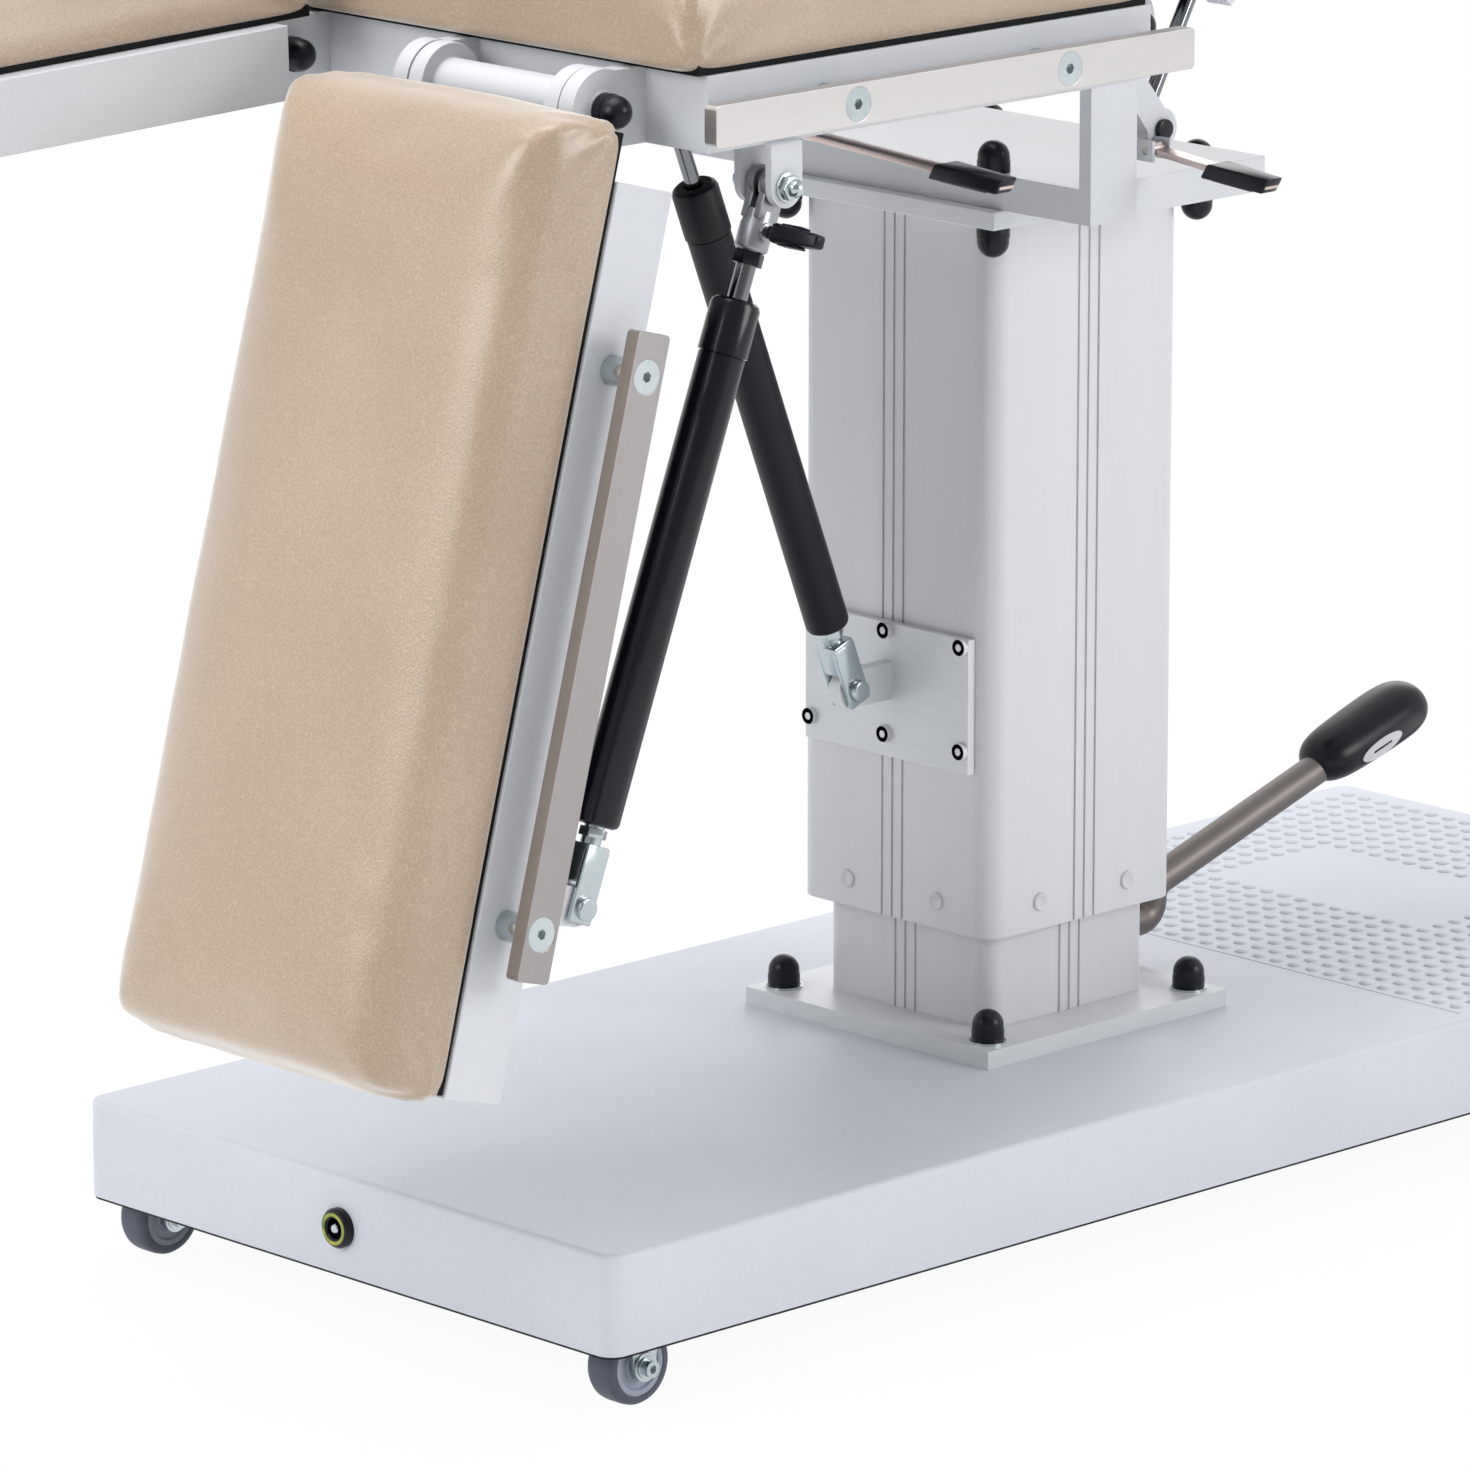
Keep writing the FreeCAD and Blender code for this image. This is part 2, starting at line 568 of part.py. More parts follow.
def column_parts():
    """Foot plate, both profiles, guides, lifting cylinder, top plate and bracket."""
    half = FOOT_PLATE / 2
    foot = box(-half, half, -half, half, COVER_TOP, FOOT_TOP)
    frame_under = COVER_TOP - COVER_WALL - FRAME_PLATE_THICK
    studs, caps = [], []
    for sx, sy in CORNERS:
        x, y = sx * FOOT_STUD_PITCH, sy * FOOT_STUD_PITCH
        foot = foot.cut(rod(V(x, y, COVER_TOP - 1), V(x, y, FOOT_TOP + 1), STUD_HOLE))
        stud = rod(V(x, y, frame_under), V(x, y, FOOT_TOP), STUD_RADIUS)
        head = rod(V(x, y, frame_under), V(x, y, frame_under - STUD_HEAD), WASHER_RADIUS)
        washer = rod(V(x, y, FOOT_TOP), V(x, y, FOOT_TOP + WASHER_THICK), WASHER_RADIUS)
        studs.append(stud.fuse(head).fuse(washer).removeSplitter())
        caps.append(dome_cap(x, y, FOOT_TOP + WASHER_THICK, 1))
    for side in (-1, 1):
        foot = foot.fuse(pedal_ear(side))
    save("foot_plate", foot.removeSplitter())
    save("foot_studs", *studs)
    save("foot_caps", *caps)
    save("inner_column", column_profile(INNER_PROFILE, INNER_CORNER, FOOT_TOP, INNER_TOP))

    outer = column_profile(OUTER_PROFILE, OUTER_CORNER, OUTER_BOTTOM, OUTER_TOP)
    face = OUTER_PROFILE / 2
    plugs = []
    for turn in range(4):
        for side in (-1, 1):
            y = side * PLUG_OFFSET
            plug = rod(V(face - PROFILE_WALL, y, PLUG_Z), V(face + PLUG_PROUD, y, PLUG_Z), PLUG_RADIUS)
            plug.rotate(V(0, 0, 0), V(0, 0, 1), 90 * turn)
            outer = outer.cut(plug)
            plugs.append(plug)
    save("outer_column", outer, *plugs)
    inside = face - PROFILE_WALL
    pad_in = INNER_PROFILE / 2 + SLIDE
    guides = []
    for turn in range(4):
        low = PLUG_Z - GUIDE_BELOW_PLUG
        pad = box(pad_in, inside, -GUIDE_WIDTH / 2, GUIDE_WIDTH / 2, low, low + GUIDE_HEIGHT)
        pad.rotate(V(0, 0, 0), V(0, 0, 1), 90 * turn)
        guides.append(pad)
    save("column_guides", *guides)

    gland, floor = LIFT_TOP - LIFT_GLAND, FOOT_TOP + LIFT_FLOOR
    tube_outline = [(0, FOOT_TOP), (LIFT_BORE + LIFT_WALL, FOOT_TOP), (LIFT_BORE + LIFT_WALL, LIFT_TOP),
                    (LIFT_ROD + RUN, LIFT_TOP), (LIFT_ROD + RUN, gland), (LIFT_BORE, gland),
                    (LIFT_BORE, floor), (0, floor)]
    save("lift_cylinder", turned(tube_outline, V(0, 0, 0), V(0, 0, 1)))
    piston_top = PISTON_BOTTOM + PISTON_LENGTH
    ram_outline = [(0, PISTON_BOTTOM), (LIFT_BORE - RUN, PISTON_BOTTOM), (LIFT_BORE - RUN, piston_top),
                   (LIFT_ROD, piston_top), (LIFT_ROD, OUTER_TOP), (0, OUTER_TOP)]
    save("lift_rod", turned(ram_outline, V(0, 0, 0), V(0, 0, 1)))

    half = TOP_PLATE / 2
    save("top_plate", box(-half, half, -half, half, OUTER_TOP, TOP_PLATE_TOP))
    caps = []
    for sx, sy in CORNERS:
        x, y = sx * TOP_STUD_PITCH, sy * TOP_STUD_PITCH
        caps.append(dome_cap(x, y, OUTER_TOP, -1))
        caps.append(dome_cap(x, y, BEAM_TOP if sx < 0 else TOP_PLATE_TOP, 1))
    save("top_caps", *caps)

    back = -face
    front = back - BRACKET_THICK
    half = BRACKET_WIDTH / 2
    plate = box(front, back, -half, half, BRACKET_BOTTOM, BRACKET_BOTTOM + BRACKET_HEIGHT)
    px, pz = TILT_SPRING_FOOT
    lug = box(px, front, -LUG_THICK / 2, LUG_THICK / 2, pz - LUG_RADIUS, pz + LUG_RADIUS)
    lug = lug.fuse(round_plate(px, pz, LUG_RADIUS, -LUG_THICK / 2, LUG_THICK / 2))
    lug = lug.cut(round_plate(px, pz, SPRING_PIN + RUN, -LUG_THICK, LUG_THICK))
    plate = plate.fuse(lug).removeSplitter()
    screws = []
    for z in (BRACKET_BOTTOM + BRACKET_SCREW_Z, BRACKET_BOTTOM + BRACKET_HEIGHT - BRACKET_SCREW_Z / 3):
        for y in (-BRACKET_SCREW_Y, 0, BRACKET_SCREW_Y):
            screws.append(rod(V(front, y, z), V(front - BRACKET_SCREW_HEAD, y, z), BRACKET_SCREW_RADIUS))
    save("spring_bracket", plate, *screws)


def yoke_parts():
    """Beam with two side plates that carry the tilt pivot."""
    half = YOKE_HALF_WIDTH
    beam = box(YOKE_LEG_END, YOKE_HEAD_END, -half, half, TOP_PLATE_TOP, BEAM_TOP)
    yoke = beam
    x0, x1 = TILT_X - YOKE_PLATE_WIDTH / 2, TILT_X + YOKE_PLATE_WIDTH / 2
    pins = []
    for side in (-1, 1):
        y0, y1 = side * half, side * (half + YOKE_PLATE)
        plate = box(x0, x1, y0, y1, TOP_PLATE_TOP, PIVOT_Z)
        plate = plate.fuse(round_plate(TILT_X, PIVOT_Z, YOKE_PLATE_WIDTH / 2, y0, y1))
        plate = plate.cut(round_plate(TILT_X, PIVOT_Z, TILT_PIN + RUN, y0 - side, y1 + side))
        yoke = yoke.fuse(plate)
        arm_in = half - ARM_GAP - ARM_THICK
        shank = round_plate(TILT_X, PIVOT_Z, TILT_PIN, side * (arm_in - 1), y1)
        head = round_plate(TILT_X, PIVOT_Z, TILT_HEAD_RADIUS, y1, y1 + side * TILT_HEAD)
        keeper_y = side * (arm_in - 1)
        keeper = round_plate(TILT_X, PIVOT_Z, TILT_HEAD_RADIUS, keeper_y, keeper_y - side * TILT_KEEPER)
        pins.append(shank.fuse(head).fuse(keeper).removeSplitter())
    save("yoke", yoke.removeSplitter())
    save("tilt_pivot_bolts", *pins)


def hinge_lug(x, y0, y1, reach_x, z0, z1):
    """Lug plate about a pivot, reaching to the crossbar that it is welded to."""
    lug = round_plate(x, PIVOT_Z, HINGE_LUG, y0, y1).fuse(box(x, reach_x, y0, y1, z0, z1))
    return lug.cut(round_plate(x, PIVOT_Z, HINGE_PIN + RUN, y0 - 1, y1 + 1)).removeSplitter()


def rail(x0, x1, z_mid, side):
    """Accessory side rail with softly rounded ends."""
    y0 = side * (HALF_WIDTH + RAIL_OFFSET)
    bar = box(x0, x1, y0, y0 + side * RAIL_THICK, z_mid - RAIL_HEIGHT / 2, z_mid + RAIL_HEIGHT / 2)
    ends = []
    for edge in bar.Edges:
        a, b = edge.Vertexes[0], edge.Vertexes[-1]
        if abs(a.X - b.X) < 1e-6 and abs(a.Z - b.Z) < 1e-6:
            ends.append(edge)
    return bar.makeFillet(RAIL_CORNER, ends)


def rail_fixing(x, z, side):
    """Countersunk screw and the spacer that holds the rail off the frame."""
    y0, y1 = side * HALF_WIDTH, side * (HALF_WIDTH + RAIL_OFFSET)
    outer = y1 + side * RAIL_THICK
    spacer = round_plate(x, z, SPACER_RADIUS, y0, y1).cut(round_plate(x, z, RAIL_SCREW + RUN, y0, y1))
    depth = RAIL_SCREW_HEAD - RAIL_SCREW
    section = [(0, 0), (RAIL_SCREW_HEAD, 0), (RAIL_SCREW, depth), (0, depth)]
    cone = turned(section, V(x, outer, z), V(0, -side, 0))
    shank = round_plate(x, z, RAIL_SCREW, outer - side * depth, y0)
    return spacer, cone.fuse(shank).removeSplitter()


def with_fixings(bar, places, z, side):
    """Cut the countersinks in a rail and return the rail and its fixings."""
    fixings = []
    for x in places:
        spacer, screw = rail_fixing(x, z, side)
        y0, y1 = side * HALF_WIDTH, side * (HALF_WIDTH + RAIL_OFFSET + RAIL_THICK)
        bar = bar.cut(screw).cut(round_plate(x, z, RAIL_SCREW + RUN, y0, y1))
        fixings += [spacer, screw]
    return bar, fixings


def seat_parts():
    """Seat frame with lugs, arms and clevises; board, cushion, rails and pins."""
    x0, x1 = SEAT_LEG_END, SEAT_HEAD_END
    frame = box(x0, x1, -HALF_WIDTH, HALF_WIDTH, BAR_BOTTOM, BAR_TOP)
    frame = frame.cut(box(x0 + BAR_WIDTH, x1 - BAR_WIDTH, -BAR_Y, BAR_Y, BAR_BOTTOM - 1, BAR_TOP + 1))
    w = BAR_WALL
    inside = box(x0 + w, x1 - w, -HALF_WIDTH + w, HALF_WIDTH - w, BAR_BOTTOM + w, BAR_TOP - w)
    core = box(x0 + BAR_WIDTH - w, x1 - BAR_WIDTH + w, -BAR_Y - w, BAR_Y + w, BAR_BOTTOM, BAR_TOP)
    frame = frame.cut(inside.cut(core))
    hx, hz = TILT_SPRING_HEAD
    half, low = TILT_CROSS / 2, BAR_BOTTOM + TILT_CROSS_RISE
    cross = box(hx - half, hx + half, -BAR_Y, BAR_Y, low, BAR_TOP)
    cross = cross.cut(box(hx - half + w, hx + half - w, -BAR_Y, BAR_Y, low + w, BAR_TOP - w))
    frame = frame.fuse(cross)
    pins = []
    for side in (-1, 1):
        for near, far in ((HINGE_INNER, HINGE_INNER + HINGE_LUG_THICK),
                          (HINGE_OUTER - HINGE_LUG_THICK, HINGE_OUTER)):
            y0, y1 = sorted((side * near, side * far))
            frame = frame.fuse(hinge_lug(LEG_PIVOT_X, y0, y1, x0, BAR_BOTTOM, BAR_TOP))
        y0, y1 = sorted((side * (HINGE_OUTER - HINGE_LUG_THICK), side * HINGE_OUTER))
        frame = frame.fuse(hinge_lug(BACK_PIVOT_X, y0, y1, x1, BAR_BOTTOM, BAR_TOP))
        pins.append(hinge_pin(LEG_PIVOT_X, side * HINGE_INNER, side * HINGE_OUTER, side, True))
        pins.append(hinge_pin(BACK_PIVOT_X, side * (HINGE_OUTER - 2 * HINGE_LUG_THICK - SIDE_PLAY),
                              side * HINGE_OUTER, side, False))
        frame = frame.fuse(tilt_arm(side))
        frame = frame.fuse(leg_clevis(side))
    for y0 in (-CLEVIS_GAP / 2 - CLEVIS_SHEET, CLEVIS_GAP / 2):
        ear = box(hx - CLEVIS_WIDTH / 2, hx + CLEVIS_WIDTH / 2, y0, y0 + CLEVIS_SHEET, hz, low)
        ear = ear.fuse(round_plate(hx, hz, CLEVIS_WIDTH / 2, y0, y0 + CLEVIS_SHEET))
        ear = ear.cut(round_plate(hx, hz, SPRING_PIN + RUN, y0 - 1, y0 + CLEVIS_SHEET + 1))
        frame = frame.fuse(ear)
    frame = frame.fuse(lever_ears()).removeSplitter()
    save("seat_frame", frame)

    bolts = clevis_bolt(*TILT_SPRING_HEAD, 0)
    for side in (-1, 1):
        bolts += clevis_bolt(*LEG_SPRING_TOP, side * SPRING_PLANE)
    arm_out = -(YOKE_HALF_WIDTH - ARM_GAP)
    stub = round_plate(*BACK_SPRING_FOOT, SPRING_PIN, arm_out, -BACK_SPRING_Y - BACK_EYE_THICK / 2 - SLIDE)
    stub_head = round_plate(*BACK_SPRING_FOOT, STUB_HEAD_RADIUS, arm_out, arm_out - STUB_HEAD)
    bolts.append(stub.fuse(stub_head).removeSplitter())
    save("hinge_pins", *pins)
    save("clevis_bolts", *bolts)

    save("seat_board", box(x0 - BOARD_INSET, x1 - BOARD_SIDE, BOARD_SIDE - HALF_WIDTH,
                           HALF_WIDTH - BOARD_SIDE, BAR_TOP, BOARD_TOP))
    pad = box(x0 - SEAT_PAD_OVERHANG, x1 + SEAT_PAD_HEAD_END, -HALF_WIDTH, HALF_WIDTH,
              BOARD_TOP + SLIDE, BOARD_TOP + PAD_THICK)
    save("seat_cushion", pad.makeFillet(PAD_ROUND, upright_edges(pad) + edges_at(pad, BOARD_TOP + PAD_THICK)))

    rails, fixings = [], []
    for side in (-1, 1):
        bar, fixed = with_fixings(rail(*SEAT_RAIL, SEAT_RAIL_Z, side), SEAT_RAIL_SCREWS, SEAT_RAIL_Z, side)
        rails.append(bar)
        fixings += fixed
    save("seat_rails", *rails)
    save("seat_rail_fixings", *fixings)


def hinge_pin(x, y_in, y_out, side, inner_cap):
    """Hinge pin with a domed cap at each visible end."""
    pin = round_plate(x, PIVOT_Z, HINGE_PIN, y_in - side * HINGE_WASHER, y_out + side * HINGE_WASHER)
    ends = [(y_out + side * HINGE_WASHER, side)]
    if inner_cap:
        ends.append((y_in - side * HINGE_WASHER, -side))
    for y, direction in ends:
        tip = y + direction * (HINGE_CAP - CAP_RADIUS)
        cap = round_plate(x, PIVOT_Z, CAP_RADIUS, y, tip)
        ball = Part.makeSphere(CAP_RADIUS, V(x, tip, PIVOT_Z))
        reach = box(x - CAP_RADIUS, x + CAP_RADIUS, tip, tip + direction * CAP_RADIUS,
                    PIVOT_Z - CAP_RADIUS, PIVOT_Z + CAP_RADIUS)
        pin = pin.fuse(cap).fuse(ball.common(reach))
    return pin.removeSplitter()


def tilt_arm(side):
    """Arm from the seat frame to the tilt pivot; its tail carries the back spring and its lever."""
    out = side * (YOKE_HALF_WIDTH - ARM_GAP)
    y0, y1 = sorted((out, out - side * ARM_THICK))
    low, high = PIVOT_Z - ARM_HEIGHT / 2, PIVOT_Z + ARM_HEIGHT / 2
    arm = box(SEAT_HEAD_END, TILT_X, y0, y1, low, high)
    arm = arm.fuse(round_plate(TILT_X, PIVOT_Z, ARM_HEIGHT / 2, y0, y1))
    if side < 0:
        fx, fz = BACK_SPRING_FOOT
        half = TAIL_WIDTH / 2
        tail = plate_xz([(TILT_X - half / 2, low + 4), (TILT_X + half, PIVOT_Z - half), (fx + half, fz),
                         (fx - half, fz)], y0, y1)
        arm = arm.fuse(tail).fuse(round_plate(fx, fz, half, y0, y1))
        arm = arm.cut(round_plate(fx, fz, SPRING_PIN + RUN, y0 - 1, y1 + 1))
    return arm.cut(round_plate(TILT_X, PIVOT_Z, TILT_PIN + RUN, y0 - 1, y1 + 1))


def clevis_bolt(x, z, y_mid):
    """Two short bolts, one in each plate of a clevis, with a washer and a nut outside."""
    bolts = []
    for direction in (-1, 1):
        eye_side = y_mid + direction * (EYE_THICK / 2 + SLIDE)
        y = y_mid + direction * (CLEVIS_GAP / 2 + CLEVIS_SHEET)
        shank = round_plate(x, z, SPRING_PIN, eye_side, y)
        washer = round_plate(x, z, CLEVIS_WASHER, y, y + direction * WASHER_THICK)
        nut = round_plate(x, z, CLEVIS_NUT, y + direction * WASHER_THICK, y + direction * NUT_THICK)
        bolts.append(shank.fuse(washer).fuse(nut).removeSplitter())
    return bolts


def leg_clevis(side):
    """Two plates under the seat bar that hold the head of a leg spring."""
    x, z = LEG_SPRING_TOP
    shape = None
    for direction in (-1, 1):
        y0 = side * SPRING_PLANE + direction * CLEVIS_GAP / 2
        y1 = y0 + direction * CLEVIS_SHEET
        ear = box(x - CLEVIS_WIDTH / 2, x + CLEVIS_WIDTH / 2, y0, y1, z, BAR_BOTTOM)
        ear = ear.fuse(round_plate(x, z, CLEVIS_WIDTH / 2, y0, y1))
        ear = ear.cut(round_plate(x, z, SPRING_PIN + RUN, y0 - direction, y1 + direction))
        shape = ear if shape is None else shape.fuse(ear)
    half, reach = CLEVIS_WIDTH / 2, CLEVIS_GAP / 2 + CLEVIS_SHEET
    y = side * SPRING_PLANE
    foot = box(x - half, x + half, y - reach, y + reach, BAR_BOTTOM - CLEVIS_FOOT, BAR_BOTTOM)
    return shape.fuse(foot)


def lever_ears():
    """Small ears that carry the two release levers."""
    shape = None
    hx = TILT_SPRING_HEAD[0]
    arm_out = YOKE_HALF_WIDTH - ARM_GAP
    half = LEVER_EAR_HALF
    y_seat, z_seat = SEAT_LEVER_ROOT
    y_back, z_back = BACK_LEVER_ROOT
    reach = LEVER_WIDTH
    root = BAR_BOTTOM + TILT_CROSS_RISE
    for direction in (-1, 1):
        near = direction * (LEVER_WIDTH / 2 + SLIDE)
        far = near + direction * LEVER_EAR
        ear = box(hx + near, hx + far, y_seat - half, y_seat + half, z_seat - half, root)
        ear = ear.cut(rod(V(hx - reach, y_seat, z_seat), V(hx + reach, y_seat, z_seat), LEVER_PIN + RUN))
        shape = ear if shape is None else shape.fuse(ear)
        x = BACK_LEVER_X
        ear = box(x + near, x + far, -arm_out, y_back - half, z_back - half, z_back + half)
        ear = ear.cut(rod(V(x - reach, y_back, z_back), V(x + reach, y_back, z_back), LEVER_PIN + RUN))
        shape = shape.fuse(ear)
    return shape


def lever(x, root, grip, end):
    """Flat release lever along Y with a moulded grip; points are (y, z)."""
    def strip(a, b, width, thick):
        run = V(0, b[0] - a[0], b[1] - a[1])
        bar = Part.makeBox(width, run.Length, thick, V(-width / 2, 0, -thick / 2))
        angle = math.degrees(math.atan2(run.z, run.y))
        bar.rotate(V(0, 0, 0), V(1, 0, 0), angle)
        bar.translate(V(x, a[0], a[1]))
        return bar
    flat = strip(root, end, LEVER_WIDTH, LEVER_THICK)
    flat = flat.fuse(rod(V(x - LEVER_WIDTH / 2, *root), V(x + LEVER_WIDTH / 2, *root), LEVER_PIN * 2))
    reach = LEVER_WIDTH / 2 + SLIDE + LEVER_EAR
    pin = rod(V(x - reach, *root), V(x + reach, *root), LEVER_PIN)
    handle = strip(grip, end, GRIP_WIDTH, GRIP_THICK).cut(flat)
    return flat.fuse(pin).removeSplitter(), handle


def leg_parts(name, side, angle):
    """One leg section, drawn flat and then lowered about its pivot."""
    def at(along):
        return LEG_PIVOT_X - along

    def place(shape):
        return swung(shape, LEG_PIVOT_X, -angle)

    low, high = PIVOT_Z + SECTION_LOW, PIVOT_Z + SECTION_HIGH
    x0, x1 = at(LEG_BAR_END), at(LEG_BAR_START)
    outer = hollow_bar(x0, x1, *sorted((side * BAR_Y, side * HALF_WIDTH)), low, high)
    inner = hollow_bar(x0, x1, *sorted((side * LEG_INNER_Y, side * (LEG_INNER_Y + BAR_WIDTH))), low, high)
    y_in, y_out = LEG_INNER_Y + BAR_WIDTH, BAR_Y
    frame = outer.fuse(inner)
    for start in (LEG_BAR_START, LEG_BAR_END - BAR_WIDTH):
        cross = box(at(start), at(start + BAR_WIDTH), side * y_in, side * y_out, low + CROSS_RISE, high)
        frame = frame.fuse(cross)
    gap = HINGE_LUG_THICK + SIDE_PLAY
    lug_in = HINGE_INNER + gap
    lug_out = HINGE_OUTER - gap
    for near, far in ((lug_in, lug_in + HINGE_LUG_THICK), (lug_out - HINGE_LUG_THICK, lug_out)):
        y0, y1 = sorted((side * near, side * far))
        frame = frame.fuse(hinge_lug(LEG_PIVOT_X, y0, y1, x1, low + CROSS_RISE, PIVOT_Z + HINGE_LUG))
    ya, yb = side * (lug_in + HINGE_LUG_THICK), side * (lug_out - HINGE_LUG_THICK)
    sleeve = round_plate(LEG_PIVOT_X, PIVOT_Z, HINGE_TUBE, ya, yb)
    frame = frame.fuse(sleeve.cut(round_plate(LEG_PIVOT_X, PIVOT_Z, HINGE_PIN + RUN, ya, yb)))
    bx, bz = at(LEG_SPRING_ALONG), PIVOT_Z - LEG_SPRING_BELOW
    y0, y1 = side * SPRING_PLANE - LUG_THICK / 2, side * SPRING_PLANE + LUG_THICK / 2
    lug = box(bx - LUG_RADIUS, bx + LUG_RADIUS, y0, y1, bz, low).fuse(round_plate(bx, bz, LUG_RADIUS, y0, y1))
    frame = frame.fuse(lug.cut(round_plate(bx, bz, SPRING_PIN + RUN, y0 - 1, y1 + 1))).removeSplitter()
    save(f"leg_frame_{name}", place(frame))

    board = box(at(LEG_PAD_END - BOARD_INSET), at(LEG_PAD_START + BOARD_INSET), side * LEG_PAD_INNER_Y,
                side * (HALF_WIDTH - BOARD_SIDE), high, high + BOARD_THICK)
    save(f"leg_board_{name}", place(board))
    pad = box(at(LEG_PAD_END), at(LEG_PAD_START), side * LEG_PAD_INNER_Y, side * HALF_WIDTH,
              high + BOARD_THICK + SLIDE, high + BOARD_THICK + PAD_THICK)
    pad = pad.makeFillet(PAD_ROUND, upright_edges(pad) + edges_at(pad, high + BOARD_THICK + PAD_THICK))
    save(f"leg_pad_{name}", place(pad))
    z = PIVOT_Z + LEG_RAIL_RISE
    places = [at(a) for a in LEG_RAIL_SCREWS]
    bar, fixings = with_fixings(rail(at(LEG_RAIL[1]), at(LEG_RAIL[0]), z, side), places, z, side)
    save(f"leg_rail_{name}", place(bar))
    save(f"leg_rail_fixings_{name}", *[place(f) for f in fixings])


def upright(shape, foot, head, y):
    """Turn a shape drawn along +Z so that it runs from foot to head in the plane at y."""
    lean = math.degrees(math.atan2(head[0] - foot[0], head[1] - foot[1]))
    shape = shape.copy()
    shape.rotate(V(0, 0, 0), V(0, 1, 0), lean)
    shape.translate(V(foot[0], y, foot[1]))
    return shape


def spring_fork(barrel_start):
    """Zinc fork on a headed pin, drawn along +Z from its pin."""
    half = LUG_THICK / 2 + FORK_SIDE_GAP
    block_end = barrel_start - FORK_NECK_LENGTH
    block = box(-FORK_BLOCK, FORK_BLOCK, -half - FORK_CHEEK, half + FORK_CHEEK, -FORK_BLOCK - 1, block_end)
    block = block.cut(box(-FORK_BLOCK - 1, FORK_BLOCK + 1, -half, half, -FORK_BLOCK - 2, FORK_MOUTH))
    neck = rod(V(0, 0, block_end), V(0, 0, barrel_start), FORK_NECK)
    pin = round_plate(0, 0, SPRING_PIN, -half - FORK_CHEEK, half + 2 * FORK_CHEEK)
    head = round_plate(0, 0, FORK_NECK, -half - FORK_CHEEK, -half - 2 * FORK_CHEEK)
    return block.fuse(neck).fuse(pin).fuse(head).removeSplitter()


def barrel_outline(start, end, radius, rod_radius):
    """Half section of a barrel with a gland that fits its rod."""
    bore = radius - SPRING_WALL
    collar = radius + COLLAR_PROUD
    floor = start + BARREL_FLOOR
    gland = end - GLAND_LENGTH
    return [(0, start), (radius, start), (radius, end - COLLAR_LENGTH), (collar, end - COLLAR_LENGTH),
            (collar, end - COLLAR_BEVEL), (collar - COLLAR_BEVEL, end), (rod_radius + RUN, end),
            (rod_radius + RUN, gland), (bore, gland), (bore, floor), (0, floor)]


def rod_outline(start, end, radius, bore):
    """Half section of a rod with its piston at the inner end."""
    piston_end = start + PISTON_THICK
    piston = bore - RUN
    return [(0, start), (piston, start), (piston, piston_end), (radius, piston_end), (radius, end), (0, end)]


def leg_spring_parts(name, side, angle):
    """Lockable gas spring of a leg: barrel on the leg, rod head under the seat."""
    turn = math.radians(angle)
    along, below = LEG_SPRING_ALONG, LEG_SPRING_BELOW
    foot = (LEG_PIVOT_X - along * math.cos(turn) + below * math.sin(turn),
            PIVOT_Z - along * math.sin(turn) - below * math.cos(turn))
    head = LEG_SPRING_TOP
    length = math.hypot(head[0] - foot[0], head[1] - foot[1])
    y = side * SPRING_PLANE
    barrel = turned(barrel_outline(*LEG_BARREL, SPRING_RADIUS, LEG_ROD), V(0, 0, 0), V(0, 0, 1))
    fork_shape = spring_fork(LEG_BARREL[0])
    save(f"leg_spring_barrel_{name}", upright(barrel, foot, head, y), upright(fork_shape, foot, head, y))
    bore = SPRING_RADIUS - SPRING_WALL
    block_start = length - LEG_HEAD_LENGTH
    stem = turned(rod_outline(length - LEG_ROD_LENGTH, block_start, LEG_ROD, bore), V(0, 0, 0), V(0, 0, 1))
    nut = rod(V(0, 0, block_start - LEG_HEAD_NUT), V(0, 0, block_start), LEG_HEAD - 0.5)
    block = rod(V(0, 0, block_start), V(0, 0, length - EYE_THICK), LEG_HEAD)
    half = EYE_THICK / 2
    eye = box(-EYE_RADIUS, EYE_RADIUS, -half, half, length - EYE_THICK, length)
    eye = eye.fuse(round_plate(0, length, EYE_RADIUS, -half, half))
    drop = length - PADDLE_DROP
    boss = rod(V(0, 0, drop), V(0, side * PADDLE_BOSS_END, drop), PADDLE_BOSS)
    body = stem.fuse(nut).fuse(block).fuse(eye).fuse(boss)
    gap = PADDLE_TONGUE / 2 + SLIDE
    clear = PADDLE_BOSS + 1
    slot = box(-gap, gap, side * PADDLE_SLOT, side * (PADDLE_BOSS_END + 1), drop - clear, drop + clear)
    hole = rod(V(-clear, side * PADDLE_PIN_Y, drop), V(clear, side * PADDLE_PIN_Y, drop), PADDLE_PIN + RUN)
    body = body.cut(slot).cut(hole)
    save(f"leg_spring_rod_{name}", upright(body.removeSplitter(), foot, head, y))
    tongue = box(-PADDLE_TONGUE / 2, PADDLE_TONGUE / 2, side * (PADDLE_SLOT + 1), side * (PADDLE_ROOT + 1),
                 drop - PADDLE_THICK / 2, drop + PADDLE_THICK / 2)
    pin_y = side * PADDLE_PIN_Y
    pin = rod(V(-PADDLE_BOSS, pin_y, drop), V(PADDLE_BOSS, pin_y, drop), PADDLE_PIN)
    blade = box(-PADDLE_WIDTH / 2, PADDLE_WIDTH / 2, side * PADDLE_ROOT, side * (PADDLE_ROOT + PADDLE_LENGTH),
                drop - PADDLE_THICK / 2, drop + PADDLE_THICK / 2)
    paddle = tongue.fuse(pin).fuse(blade).removeSplitter()
    save(f"leg_spring_paddle_{name}", upright(paddle, foot, head, y))


